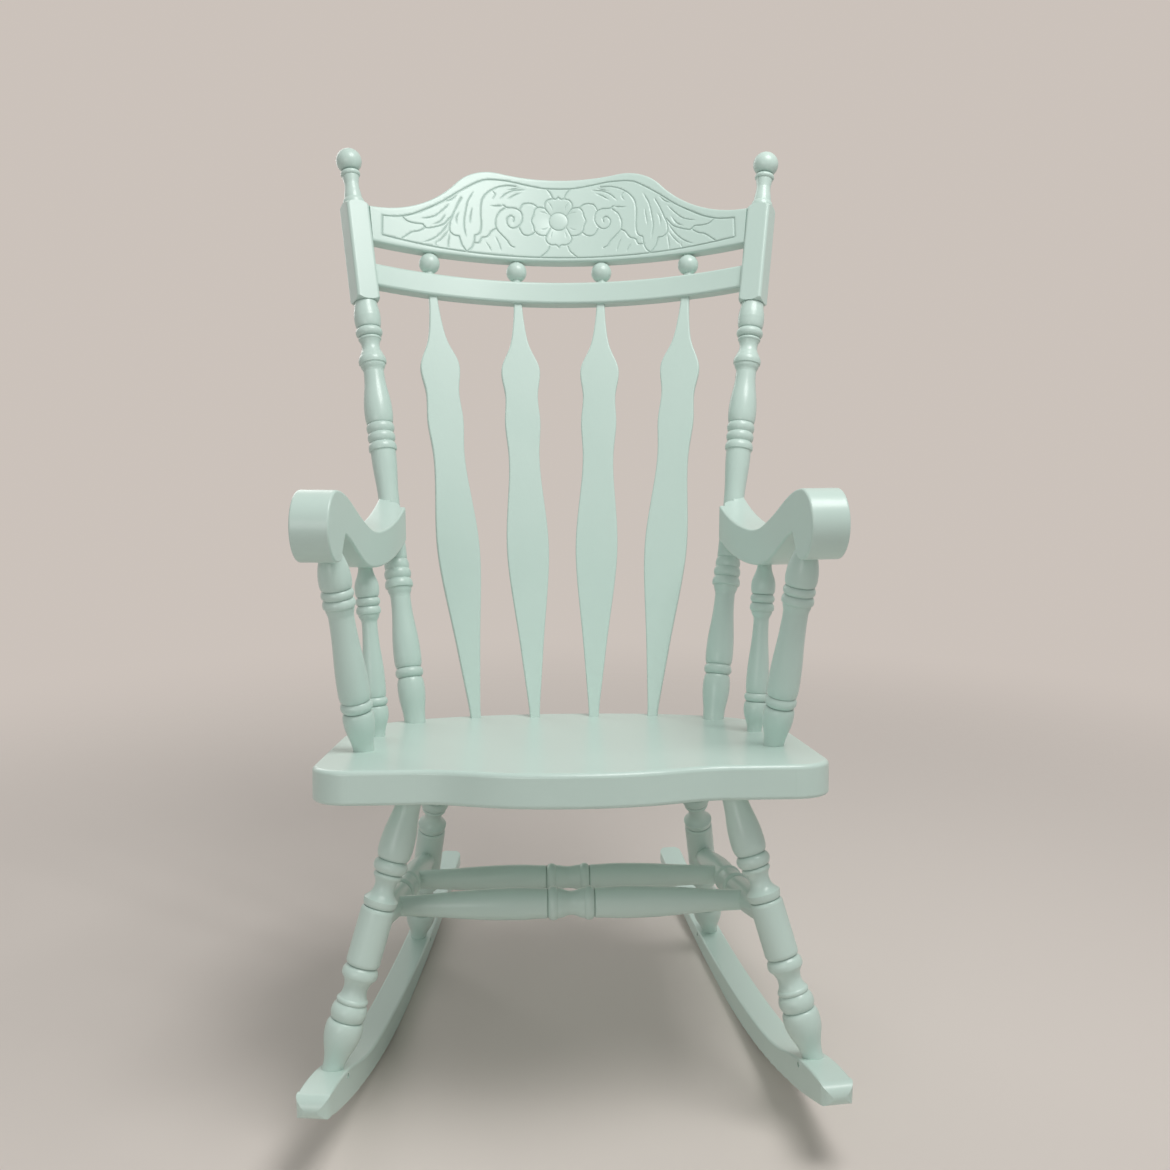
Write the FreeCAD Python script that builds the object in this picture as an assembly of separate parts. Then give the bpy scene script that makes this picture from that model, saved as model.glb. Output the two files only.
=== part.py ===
import FreeCAD, Part
import math
import os
from FreeCAD import Matrix, Placement, Vector

os.makedirs("parts", exist_ok=True)

# A high-backed wooden rocking chair with turned legs and posts, in millimetres.
# +Z is up and the floor is z = 0. The chair faces -Y, and x = 0 is its plane of symmetry.
# "Right" pieces are on the +X side, and the left ones are their mirror images.

# Seat: a board with a bowed front edge, sloping down to the back.
SEAT_FRONT_Y = -303.0
SEAT_FRONT_Z = 422.0
SEAT_SLOPE = 8.0
SEAT_THICK = 38.0
SEAT_HALF_WIDTH = 287.5
SEAT_DEPTH = 440.0
SEAT_BOW = 34.0
SEAT_BOW_HALF_WIDTH = 170.0
SEAT_CORNER_RADIUS = 45.0
SEAT_SIDE_DEPTH = 235.0
SEAT_REAR_CORNER_X = 232.0
SEAT_REAR_CORNER_DEPTH = 381.0
SEAT_REAR_CORNER_ANGLE = 39.0
SEAT_TOP_ROUND = 5.0
SEAT_BOTTOM_ROUND = 4.0

# Rockers: two runners that toe out to the front, on two arcs that meet where they rest.
ROCKER_X = 232.3
ROCKER_Y = -16.5
ROCKER_TOE_OUT = 6.56
ROCKER_WIDTH = 35.8
ROCKER_FRONT_RADIUS = 979.0
ROCKER_REAR_RADIUS = 2476.0
ROCKER_FRONT_REACH = 380.5
ROCKER_REAR_REACH = 406.5
ROCKER_TAIL_THICK = 17.0
ROCKER_REAR_THICK = 23.0
ROCKER_MIDDLE_THICK = 28.5
ROCKER_FRONT_THICK = 30.0
ROCKER_TOE_THICK = 36.0
ROCKER_NOSE_THICK = 25.0
ROCKER_NOSE_OVERHANG = 10.5
ROCKER_NOSE_CORNER = 12.0
ROCKER_EDGE_ROUND = 2.5

# Legs: where each meets the underside of the seat and the top of its rocker.
FRONT_LEG_SEAT_X = 181.0
FRONT_LEG_SEAT_DEPTH = 57.0
FRONT_LEG_ROCKER_REACH = 305.5
REAR_LEG_SEAT_X = 168.7
REAR_LEG_SEAT_DEPTH = 316.4
REAR_LEG_ROCKER_REACH = 137.0
LEG_FOOT_RADIUS = 11.5
LEG_FOOT_VASE_RADIUS = 20.8
LEG_FOOT_VASE_HEIGHT = 45.0
LEG_BEAD_RADIUS = 20.0
LEG_BEAD_HEIGHT = 19.0
LEG_LOWER_COVE_RADIUS = 13.3
LEG_COVE_HEIGHT = 22.0
LEG_COLLAR_RADIUS = 19.6
LEG_COLLAR_HEIGHT = 11.0
LEG_BARREL_RADIUS = 19.0
LEG_UPPER_COVE_RADIUS = 11.6
LEG_UPPER_BEAD_RADIUS = 19.2
LEG_UPPER_BEAD_HEIGHT = 15.0
LEG_BULB_RADIUS = 19.4
LEG_BULB_HEIGHT = 60.0
LEG_TOP_RADIUS = 13.6

# Stretchers: where they are let into the legs, and into each other.
SIDE_STRETCHER_FRONT_HEIGHT = 158.0
SIDE_STRETCHER_REAR_HEIGHT = 154.0
SIDE_STRETCHER_BODY_RADIUS = 17.0
FRONT_CROSS_AT = 0.26
REAR_CROSS_AT = 0.63
FRONT_CROSS_BODY_RADIUS = 19.0
REAR_CROSS_BODY_RADIUS = 17.0
STRETCHER_END_RADIUS = 12.0
STRETCHER_COVE_RADIUS = 14.0
STRETCHER_COVE_HALF_LENGTH = 16.0
STRETCHER_BEAD_LENGTH = 12.0
STRETCHER_BEAD_PROUD = 1.0
STRETCHER_SWELL_LENGTH = 32.0

# Back posts: raked back and splayed outward, turned, with a square block for the rails.
BACK_RAKE = 18.5
BACK_POST_SEAT_INSET = 24.5
BACK_POST_SEAT_SETBACK = 13.0
BACK_POST_SPLAY = 7.25
BACK_POST_FOOT_RADIUS = 14.5
BACK_POST_VASE_RADIUS = 18.9
BACK_POST_VASE_HEIGHT = 46.0
BACK_POST_RING_RADIUS = 19.3
BACK_POST_RING_HEIGHT = 14.0
BACK_POST_BELLY_RADIUS = 19.1
BACK_POST_NECK_RADIUS = 13.9
BACK_POST_NECK_AT = 176.0
BACK_POST_LOWER_RING_RADIUS = 19.0
BACK_POST_LOWER_TOP_RING_RADIUS = 17.4
BACK_POST_WAIST_RADIUS = 14.5
BACK_POST_WAIST_AT = 312.0
BACK_POST_UPPER_RING_AT = 389.0
BACK_POST_UPPER_RING_RADIUS = 20.0
BACK_POST_UPPER_NECK_RADIUS = 14.6
BACK_POST_UPPER_NECK_AT = 509.0
BACK_POST_COVE_RADIUS = 12.9
BACK_POST_COVE_HEIGHT = 20.0
BLOCK_SIDE = 35.0
BLOCK_START = 616.0
BLOCK_LENGTH = 155.0
BLOCK_EDGE_ROUND = 5.0
FINIAL_NECK_RADIUS = 10.4
FINIAL_NECK_HEIGHT = 23.0
FINIAL_COLLAR_RADIUS = 14.5
FINIAL_BALL_RADIUS = 19.0

# Rails: both follow one arc, hollow side to the front, and are let into the blocks.
RAIL_ARC_RADIUS = 600.0
RAIL_THICK = 22.0
LOWER_RAIL_AT = 638.0
LOWER_RAIL_HEIGHT = 34.5
RAIL_GAP = 36.5
RAIL_EDGE_ROUND = 4.0
CREST_CENTRE_HEIGHT = 132.0
CREST_HUMP_X = 104.0
CREST_HUMP_HEIGHT = 140.5
CREST_HUMP_RADIUS = 70.0
CREST_LEVEL_X = 292.0
CREST_END_HEIGHT = 52.0

# Turned balls between the rails, and flat arrow-shaped slats below them.
BALL_RADIUS = 15.6
BALL_NECK_RADIUS = 6.5
SLAT_SEAT_PITCH = 84.0
SLAT_RAIL_PITCH = 127.5
SLAT_SEAT_INSET = 33.5
SLAT_THICK = 11.0
SLAT_TURN_SHARE = 0.6
SLAT_EDGE_ROUND = 2.0
SLAT_FOOT_WIDTH = 14.0
SLAT_LEAF_WIDTH = 61.4
SLAT_LEAF_AT = 250.0
SLAT_WAIST_WIDTH = 46.8
SLAT_WAIST_AT = 400.0
SLAT_BUMP_WIDTH = 53.0
SLAT_BUMP_AT = 444.0
SLAT_UPPER_WAIST_WIDTH = 49.3
SLAT_UPPER_WAIST_AT = 486.0
SLAT_ARROW_WIDTH = 57.5
SLAT_ARROW_AT = 527.0
SLAT_TIP_WIDTH = 12.6

# Arms: boards that toe out to the front, with a rolled front end.
ARM_SCROLL_X = 277.0
ARM_SCROLL_Y = -228.0
ARM_SCROLL_Z = 677.0
ARM_TOE_OUT = 5.7
ARM_WIDTH = 44.0
ARM_SCROLL_RADIUS = 40.0
ARM_DIP_REACH = 222.0
ARM_DIP_TOP_Z = 647.0
ARM_BOTTOM_Z = 602.0
ARM_REAR_TOP_Z = 674.0
ARM_REAR_BOTTOM_Z = 627.0
ARM_EDGE_ROUND = 2.5
ARM_REAR_CORNER_ROUND = 18.0

# Arm posts: two turned posts under each arm.
FRONT_POST_SEAT_INSET = 43.5
FRONT_POST_SEAT_DEPTH = 133.0
FRONT_POST_ARM_REACH = 33.0
FRONT_POST_FOOT_RADIUS = 12.4
FRONT_POST_VASE_RADIUS = 18.5
FRONT_POST_VASE_HEIGHT = 41.0
FRONT_POST_RING_RADIUS = 19.0
FRONT_POST_RING_HEIGHT = 13.0
FRONT_POST_BELLY_RADIUS = 18.9
FRONT_POST_NECK_RADIUS = 14.8
FRONT_POST_NECK_AT = 166.0
FRONT_POST_TOP_RADIUS = 9.5
MIDDLE_POST_SEAT_INSET = 45.0
MIDDLE_POST_SEAT_DEPTH = 247.0
MIDDLE_POST_ARM_REACH = 202.0
MIDDLE_POST_FOOT_RADIUS = 9.4
MIDDLE_POST_VASE_RADIUS = 15.5
MIDDLE_POST_VASE_HEIGHT = 30.0
MIDDLE_POST_RING_RADIUS = 15.6
MIDDLE_POST_RING_HEIGHT = 11.0
MIDDLE_POST_BELLY_RADIUS = 14.4
MIDDLE_POST_NECK_RADIUS = 9.8
MIDDLE_POST_NECK_AT = 145.0
MIDDLE_POST_TOP_RADIUS = 9.0

# Joinery: round tenons glued in sockets, rail tenons held by pins, arms screwed to the posts.
GLUE_GAP = 0.15
SOCKET_END_GAP = 1.0
SEAT_TENON_RADIUS = 9.0
SEAT_TENON_LENGTH = 25.0
FOOT_TENON_RADIUS = 7.5
FOOT_TENON_LENGTH = 14.0
SIDE_TENON_RADIUS = 8.0
SIDE_TENON_LENGTH = 12.0
CROSS_TENON_RADIUS = 7.0
CROSS_TENON_LENGTH = 9.0
SLAT_TENON_RADIUS = 4.5
SLAT_TENON_LENGTH = 15.0
BALL_TENON_RADIUS = 4.5
BALL_TENON_LENGTH = 10.0
ARM_TENON_RADIUS = 7.0
ARM_TENON_LENGTH = 14.0
RAIL_TENON_THICK = 10.0
RAIL_TENON_SHOULDER = 6.0
RAIL_TENON_LENGTH = 14.0
PIN_RADIUS = 2.5
PIN_GAP = 0.05
ROCKER_PIN_RADIUS = 3.0
SCREW_RADIUS = 2.2
SCREW_HEAD_RADIUS = 4.2
SCREW_HEAD_HEIGHT = 2.8
SCREW_GRIP = 26.0
PLUG_LENGTH = 4.0


def along(start, end, share):
    """Point on the line from start to end, at a share of its length."""
    return start + (end - start) * share


def laid(shape, start, toward, side=Vector(1, 0, 0)):
    """A shape drawn about its own Z axis, moved onto the line from start to toward."""
    w = toward - start
    w.normalize()
    v = w.cross(side)
    v.normalize()
    u = v.cross(w)
    turn = Matrix(u.x, v.x, w.x, start.x, u.y, v.y, w.y, start.y, u.z, v.z, w.z, start.z, 0, 0, 0, 1)
    moved = shape.copy()
    moved.Placement = Placement(turn).multiply(shape.Placement)
    return moved


def rod(start, end, radius, before=0.0, beyond=0.0):
    """Round rod between two points, made longer at either end."""
    axis = end - start
    axis.normalize()
    first = start - axis * before
    length = (end - start).Length + before + beyond
    return Part.makeCylinder(radius, length, first, axis)


def biggest(shape):
    """The largest solid of a shape, without the offcuts that a scribing cut leaves."""
    return max(shape.Solids, key=lambda solid: solid.Volume)


def mirrored(shape):
    """The same piece on the other side of the chair."""
    return shape.mirror(Vector(0, 0, 0), Vector(1, 0, 0))


def bezier(*points):
    """Edge through control points."""
    curve = Part.BezierCurve()
    curve.setPoles(list(points))
    return curve.toShape()


def spline(points, first_tangent=None, last_tangent=None):
    """Smooth edge through points, with its end directions where they are given."""
    curve = Part.BSplineCurve()
    if first_tangent is None:
        curve.interpolate(Points=points)
    else:
        curve.interpolate(Points=points, InitialTangent=first_tangent, FinalTangent=last_tangent)
    return curve.toShape()


def arc(first, middle, last):
    """Arc through three points."""
    return Part.Arc(first, middle, last).toShape()


def solid_of(edges, depth):
    """Closed outline pushed along a vector."""
    return Part.Face(Part.Wire(edges)).extrude(depth)


def rounded(shape, radius, picks):
    """Rounded copy of a solid, on the edges that picks accepts."""
    edges = [edge for edge in shape.Edges if picks(edge)]
    return shape.makeFillet(radius, edges)


class Turning:
    """Half outline of a turned piece, drawn from its lower end up."""

    def __init__(self, radius, start=0.0):
        self.radius = radius
        self.height = start
        self.edges = [Part.makeLine(Vector(0, 0, start), Vector(radius, 0, start))]

    def point(self, radius, height):
        return Vector(radius, 0, height)

    def add(self, edge, radius, length):
        self.edges.append(edge)
        self.radius = radius
        self.height += length
        return self

    def taper(self, radius, length):
        """Straight line."""
        ends = self.point(self.radius, self.height), self.point(radius, self.height + length)
        return self.add(Part.makeLine(*ends), radius, length)

    def swell(self, radius, length):
        """S-shaped line, parallel to the axis at both ends."""
        a = self.point(self.radius, self.height)
        b = self.point(self.radius, self.height + 0.45 * length)
        c = self.point(radius, self.height + 0.55 * length)
        d = self.point(radius, self.height + length)
        return self.add(bezier(a, b, c, d), radius, length)

    def spring(self, radius, length):
        """Round shoulder that leaves a groove sideways and ends parallel to the axis."""
        a = self.point(self.radius, self.height)
        b = self.point(self.radius + 0.6 * (radius - self.radius), self.height + 0.05 * length)
        c = self.point(radius, self.height + 0.45 * length)
        d = self.point(radius, self.height + length)
        return self.add(bezier(a, b, c, d), radius, length)

    def close_in(self, radius, length):
        """Round shoulder that starts parallel to the axis and ends in a groove."""
        a = self.point(self.radius, self.height)
        b = self.point(self.radius, self.height + 0.55 * length)
        c = self.point(radius + 0.6 * (self.radius - radius), self.height + 0.95 * length)
        d = self.point(radius, self.height + length)
        return self.add(bezier(a, b, c, d), radius, length)

    def bead(self, middle, radius, length):
        """Arc through a middle radius: a bead if it is the largest, a cove if the smallest."""
        a = self.point(self.radius, self.height)
        b = self.point(middle, self.height + 0.5 * length)
        d = self.point(radius, self.height + length)
        return self.add(arc(a, b, d), radius, length)

    def solid(self):
        """The turned solid about the Z axis."""
        top = Part.makeLine(Vector(self.radius, 0, self.height), Vector(0, 0, self.height))
        start = self.edges[0].Vertexes[0].Point
        core = Part.makeLine(Vector(0, 0, self.height), start)
        outline = Part.Wire(self.edges + [top, core])
        return Part.Face(outline).revolve(Vector(0, 0, 0), Vector(0, 0, 1), 360)


# The seat's own frame: x across, depth back along its top, and drop below its top.
SLOPE = math.radians(SEAT_SLOPE)


def on_seat(x, depth, drop=0.0):
    """Point of the seat, by its place across, back and below the top."""
    y = SEAT_FRONT_Y + depth * math.cos(SLOPE) - drop * math.sin(SLOPE)
    z = SEAT_FRONT_Z - depth * math.sin(SLOPE) - drop * math.cos(SLOPE)
    return Vector(x, y, z)


SEAT_UP = on_seat(0, 0, -1.0) - on_seat(0, 0, 0)


def seat_outline():
    """Half of the seat's outline, from the front centre round to the rear centre."""
    angle = math.radians(SEAT_REAR_CORNER_ANGLE)
    turn_x = math.cos(angle)
    turn_y = math.sin(angle)
    bow_x = SEAT_BOW_HALF_WIDTH
    wide = SEAT_HALF_WIDTH
    corner = SEAT_CORNER_RADIUS
    rear_x = SEAT_REAR_CORNER_X
    rear_y = SEAT_REAR_CORNER_DEPTH
    side_run = 0.45 * (rear_y - SEAT_SIDE_DEPTH)
    corner_run = 0.83 * (wide - rear_x)
    back_run = 0.23 * rear_x
    diagonal = corner * (1 - math.sqrt(0.5))
    front = bezier(
        Vector(0, -SEAT_BOW),
        Vector(0.62 * bow_x, -SEAT_BOW),
        Vector(0.68 * bow_x, 0),
        Vector(bow_x, 0),
    )
    level = Part.makeLine(Vector(bow_x, 0), Vector(wide - corner, 0))
    round_corner = arc(
        Vector(wide - corner, 0), Vector(wide - diagonal, diagonal), Vector(wide, corner)
    )
    side = Part.makeLine(Vector(wide, corner), Vector(wide, SEAT_SIDE_DEPTH))
    rear_corner = bezier(
        Vector(wide, SEAT_SIDE_DEPTH),
        Vector(wide, SEAT_SIDE_DEPTH + side_run),
        Vector(rear_x + corner_run * turn_x, rear_y - corner_run * turn_y),
        Vector(rear_x, rear_y),
    )
    rear = bezier(
        Vector(rear_x, rear_y),
        Vector(rear_x - back_run * turn_x, rear_y + back_run * turn_y),
        Vector(0.47 * rear_x, SEAT_DEPTH),
        Vector(0, SEAT_DEPTH),
    )
    return [front, level, round_corner, side, rear_corner, rear]


def make_seat():
    """Seat board, rounded along its top and bottom edges, before its sockets."""
    right = seat_outline()
    left = [edge.mirror(Vector(0, 0, 0), Vector(1, 0, 0)) for edge in reversed(right)]
    face = Part.Face(Part.Wire(Part.__sortEdges__(right + left)))
    board = face.extrude(Vector(0, 0, -SEAT_THICK))
    board = rounded(board, SEAT_TOP_ROUND, lambda e: abs(e.BoundBox.ZMin) < 0.01)
    low = -SEAT_THICK + 0.01
    board = rounded(board, SEAT_BOTTOM_ROUND, lambda e: e.BoundBox.ZMax < low)
    return laid(board, on_seat(0, 0), on_seat(0, 0, -1.0))


def seat_slab():
    """Block of the seat's thickness, wider than the seat, that scribes what meets it."""
    reach = SEAT_HALF_WIDTH + SEAT_DEPTH
    slab = Part.makeBox(2 * reach, 2 * reach, SEAT_THICK, Vector(-reach, -reach, -SEAT_THICK))
    return laid(slab, on_seat(0, 0), on_seat(0, 0, -1.0))


# The rocker's own frame: reach back from where it rests, and height above the floor.
TOE = math.radians(ROCKER_TOE_OUT)


def on_rocker(reach, height, aside=0.0):
    """Point of the right rocker's middle plane, or a distance aside of it."""
    x = ROCKER_X - reach * math.sin(TOE) + aside * math.cos(TOE)
    y = ROCKER_Y + reach * math.cos(TOE) + aside * math.sin(TOE)
    return Vector(x, y, height)


def rocker_under(reach):
    """Height of the rocker's underside, and how far its normal leans, at a reach."""
    radius = ROCKER_REAR_RADIUS if reach > 0 else ROCKER_FRONT_RADIUS
    height = radius - math.sqrt(radius * radius - reach * reach)
    return height, math.asin(reach / radius)


def rocker_over(reach, thick):
    """Point of the rocker's upper side that lies square above its underside."""
    height, lean = rocker_under(reach)
    return reach - thick * math.sin(lean), height + thick * math.cos(lean)


ROCKER_STATIONS = [
    (ROCKER_REAR_REACH, ROCKER_TAIL_THICK),
    (0.69 * ROCKER_REAR_REACH, 0.5 * (ROCKER_TAIL_THICK + ROCKER_REAR_THICK)),
    (REAR_LEG_ROCKER_REACH, ROCKER_REAR_THICK),
    (0.0, ROCKER_MIDDLE_THICK),
    (-0.5 * FRONT_LEG_ROCKER_REACH, ROCKER_MIDDLE_THICK + 0.5),
    (-0.8 * FRONT_LEG_ROCKER_REACH, ROCKER_FRONT_THICK),
    (-FRONT_LEG_ROCKER_REACH, ROCKER_TOE_THICK),
    (-0.5 * FRONT_LEG_ROCKER_REACH - 0.5 * ROCKER_FRONT_REACH, ROCKER_TOE_THICK - 2.0),
    (-ROCKER_FRONT_REACH, ROCKER_NOSE_THICK),
]


def rocker_profile():
    """Side outline of a rocker as points (reach, height) joined by arcs and one spline."""
    front_z, front_lean = rocker_under(-ROCKER_FRONT_REACH)
    rear_z, rear_lean = rocker_under(ROCKER_REAR_REACH)
    half_front_z = rocker_under(-0.5 * ROCKER_FRONT_REACH)[0]
    half_rear_z = rocker_under(0.5 * ROCKER_REAR_REACH)[0]
    front = Vector(-ROCKER_FRONT_REACH, 0, front_z)
    rear = Vector(ROCKER_REAR_REACH, 0, rear_z)
    rest = Vector(0, 0, 0)
    under_front = arc(front, Vector(-0.5 * ROCKER_FRONT_REACH, 0, half_front_z), rest)
    under_rear = arc(rest, Vector(0.5 * ROCKER_REAR_REACH, 0, half_rear_z), rear)
    upper = [Vector(x, 0, z) for x, z in (rocker_over(*station) for station in ROCKER_STATIONS)]
    tail = Part.makeLine(rear, upper[0])
    top = spline(upper)
    tip_x, tip_z = rocker_over(-ROCKER_FRONT_REACH, 0.5 * ROCKER_NOSE_THICK)
    tip = Vector(tip_x - ROCKER_NOSE_OVERHANG, 0, tip_z)
    nose = arc(upper[-1], tip, front)
    return [under_front, under_rear, tail, top, nose]


def rocker_top(reach):
    """Point on the rocker's upper side at a reach, on its middle plane."""
    high = 4 * ROCKER_TOE_THICK + rocker_under(reach)[0]
    ray = Part.makeLine(Vector(reach, 0, 0), Vector(reach, 0, high))
    top = rocker_profile()[3]
    touch = ray.distToShape(top)[1][0][0]
    return on_rocker(reach, touch.z)


def make_rocker():
    """Right rocker before its sockets: side outline, rounded in plan at nose and tail."""
    half = 0.5 * ROCKER_WIDTH
    body = solid_of(rocker_profile(), Vector(0, ROCKER_WIDTH, 0))
    body = rounded(body, ROCKER_EDGE_ROUND, lambda e: e.Length > 0.5 * ROCKER_FRONT_REACH)
    body.translate(Vector(0, -half, 0))
    tail = ROCKER_REAR_REACH
    tip_x = rocker_over(-ROCKER_FRONT_REACH, 0.5 * ROCKER_NOSE_THICK)[0] - ROCKER_NOSE_OVERHANG
    turn = ROCKER_NOSE_CORNER
    bend = turn * (1 - math.sqrt(0.5))
    plan = [
        Part.makeLine(Vector(tip_x + turn, half), Vector(tail - half, half)),
        arc(Vector(tail - half, half), Vector(tail, 0), Vector(tail - half, -half)),
        Part.makeLine(Vector(tail - half, -half), Vector(tip_x + turn, -half)),
        arc(
            Vector(tip_x + turn, -half),
            Vector(tip_x + bend, bend - half),
            Vector(tip_x, turn - half),
        ),
        Part.makeLine(Vector(tip_x, turn - half), Vector(tip_x, half - turn)),
        arc(
            Vector(tip_x, half - turn),
            Vector(tip_x + bend, half - bend),
            Vector(tip_x + turn, half),
        ),
    ]
    high = rocker_under(-ROCKER_FRONT_REACH)[0] + 2 * ROCKER_TOE_THICK
    turned = biggest(body.common(solid_of(plan, Vector(0, 0, high))))
    back = Vector(-math.sin(TOE), math.cos(TOE), 0)
    side = Vector(math.cos(TOE), math.sin(TOE), 0)
    rest = on_rocker(0, 0)
    turn_to = Matrix(back.x, -side.x, 0, rest.x, back.y, -side.y, 0, rest.y, 0, 0, 1, 0, 0, 0, 0, 1)
    turned.Placement = Placement(turn_to)
    return turned


FRONT_LEG_FOOT = rocker_top(-FRONT_LEG_ROCKER_REACH)
FRONT_LEG_HEAD = on_seat(FRONT_LEG_SEAT_X, FRONT_LEG_SEAT_DEPTH, SEAT_THICK)
REAR_LEG_FOOT = rocker_top(REAR_LEG_ROCKER_REACH)
REAR_LEG_HEAD = on_seat(REAR_LEG_SEAT_X, REAR_LEG_SEAT_DEPTH, SEAT_THICK)
SCRIBE = 12.0


def make_leg(foot, head):
    """Turned leg from the rocker to the seat, longer at both ends, where it is scribed."""
    length = (head - foot).Length
    rim = LEG_COLLAR_HEIGHT
    lower = LEG_FOOT_VASE_HEIGHT + 10.0 + LEG_BEAD_HEIGHT + 6.0 + LEG_COVE_HEIGHT + rim + 3.0
    upper = rim + LEG_COVE_HEIGHT + 6.0 + LEG_UPPER_BEAD_HEIGHT + 14.0 + LEG_BULB_HEIGHT
    barrel = length - lower - upper - 10.0
    groove = LEG_BARREL_RADIUS - 2.8
    leg = Turning(LEG_FOOT_RADIUS, -SCRIBE)
    leg.taper(LEG_FOOT_RADIUS, SCRIBE)
    leg.swell(LEG_FOOT_VASE_RADIUS, LEG_FOOT_VASE_HEIGHT)
    leg.close_in(LEG_FOOT_VASE_RADIUS - 3.8, 10.0)
    leg.bead(LEG_BEAD_RADIUS, LEG_BEAD_RADIUS - 3.6, LEG_BEAD_HEIGHT)
    leg.bead(LEG_BEAD_RADIUS - 2.4, LEG_BEAD_RADIUS - 4.0, 6.0)
    leg.bead(LEG_LOWER_COVE_RADIUS, LEG_COLLAR_RADIUS - 1.6, LEG_COVE_HEIGHT)
    leg.taper(LEG_COLLAR_RADIUS, 2.0)
    leg.bead(LEG_COLLAR_RADIUS + 0.4, LEG_COLLAR_RADIUS - 1.0, rim - 2.0)
    leg.taper(groove, 3.0)
    leg.spring(LEG_BARREL_RADIUS, 5.0)
    leg.taper(LEG_BARREL_RADIUS, barrel)
    leg.close_in(groove, 5.0)
    leg.spring(LEG_COLLAR_RADIUS - 0.4, rim - 2.0)
    leg.taper(LEG_COLLAR_RADIUS - 2.4, 2.0)
    leg.bead(LEG_UPPER_COVE_RADIUS, LEG_UPPER_BEAD_RADIUS - 4.4, LEG_COVE_HEIGHT)
    leg.bead(LEG_UPPER_BEAD_RADIUS - 3.0, LEG_UPPER_BEAD_RADIUS - 4.6, 6.0)
    leg.bead(LEG_UPPER_BEAD_RADIUS, LEG_UPPER_BEAD_RADIUS - 3.8, LEG_UPPER_BEAD_HEIGHT)
    leg.spring(LEG_BULB_RADIUS, 14.0)
    leg.swell(LEG_TOP_RADIUS, LEG_BULB_HEIGHT)
    leg.taper(LEG_TOP_RADIUS, SCRIBE)
    return laid(leg.solid(), foot, head)


def stretcher(start, end, end_radius, body_radius):
    """Turned stretcher between two axes, the same both ways from its middle."""
    half = 0.5 * (end - start).Length
    middle = along(start, end, 0.5)
    inner = STRETCHER_COVE_HALF_LENGTH + STRETCHER_BEAD_LENGTH
    bead_radius = body_radius + STRETCHER_BEAD_PROUD
    shoulder = body_radius - 1.2
    run = half - inner - 3.0 - STRETCHER_SWELL_LENGTH
    half_piece = Turning(STRETCHER_COVE_RADIUS)
    cove_out = bead_radius - 2.2
    half_piece.swell(cove_out, STRETCHER_COVE_HALF_LENGTH)
    half_piece.bead(bead_radius, shoulder - 1.6, STRETCHER_BEAD_LENGTH)
    half_piece.spring(shoulder, 3.0)
    half_piece.swell(body_radius, STRETCHER_SWELL_LENGTH)
    half_piece.swell(end_radius, run)
    one = laid(half_piece.solid(), middle, end, Vector(0, 0, 1))
    other = laid(half_piece.solid(), middle, start, Vector(0, 0, 1))
    return biggest(one.fuse(other).removeSplitter())


# The back's own frame: x across, behind square to the rake, and up along it.
RAKE = math.radians(BACK_RAKE)
POST_SEAT_X = SEAT_REAR_CORNER_X - BACK_POST_SEAT_INSET
POST_SEAT_DEPTH = SEAT_REAR_CORNER_DEPTH - BACK_POST_SEAT_SETBACK
BACK_BASE = on_seat(0, POST_SEAT_DEPTH)
UPWARD = Vector(0, math.sin(RAKE), math.cos(RAKE))
BEHIND = Vector(0, math.cos(RAKE), -math.sin(RAKE))


def on_back(x, behind, up):
    """Point of the back, by its place across, behind and up the rake."""
    return BACK_BASE + Vector(x, 0, 0) + BEHIND * behind + UPWARD * up


SPLAY = math.radians(BACK_POST_SPLAY)
POST_FOOT = on_back(POST_SEAT_X, 0, 0)


def on_post(height):
    """Point of the right back post's axis, at a height along it."""
    return on_back(POST_SEAT_X + height * math.sin(SPLAY), 0, height * math.cos(SPLAY))


def post_x(up):
    """Place across of the right post's axis, at a height up the back."""
    return POST_SEAT_X + up * math.tan(SPLAY)


LOWER_RAIL_X = post_x(LOWER_RAIL_AT + 0.5 * LOWER_RAIL_HEIGHT)
ARC_BACK = math.sqrt(RAIL_ARC_RADIUS ** 2 - LOWER_RAIL_X ** 2)


def rail_behind(x):
    """How far behind the posts' plane the rails' middle line lies."""
    return math.sqrt(RAIL_ARC_RADIUS ** 2 - x * x) - ARC_BACK


BLOCK_TURN = math.asin(LOWER_RAIL_X / RAIL_ARC_RADIUS)
BLOCK_FACING = Vector(1, 0, 0) * math.cos(BLOCK_TURN) - BEHIND * math.sin(BLOCK_TURN)


def block_laid(square):
    """A block made about the Z axis, laid on the right back post and faced to the rails."""
    return laid(square, POST_FOOT, on_post(1.0), BLOCK_FACING)


def block_prism():
    """The square block before its corners are rounded, about the Z axis."""
    half = 0.5 * BLOCK_SIDE
    return Part.makeBox(BLOCK_SIDE, BLOCK_SIDE, BLOCK_LENGTH, Vector(-half, -half, BLOCK_START))


def make_block():
    """Square block of the right back post, its corners rounded and its ends turned."""
    half = 0.5 * BLOCK_SIDE
    square = rounded(
        block_prism(), BLOCK_EDGE_ROUND, lambda e: abs(e.Length - BLOCK_LENGTH) < 0.01
    )
    corner = half * math.sqrt(2)
    envelope = Turning(half - 1.0, BLOCK_START)
    envelope.spring(corner, 13.0)
    envelope.taper(corner, BLOCK_LENGTH - 13.0 - 16.0)
    envelope.close_in(half - 3.5, 16.0)
    return block_laid(square.common(envelope.solid()))


def rings_of_three(post, lip, middle, upper):
    """Three turned rings, the lowest with a sharp lower lip."""
    post.taper(lip, 1.5)
    post.bead(lip + 0.3, lip - 2.6, 12.0)
    post.bead(middle, middle - 2.4, 14.0)
    post.bead(upper, upper - 2.2, 14.0)


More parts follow.
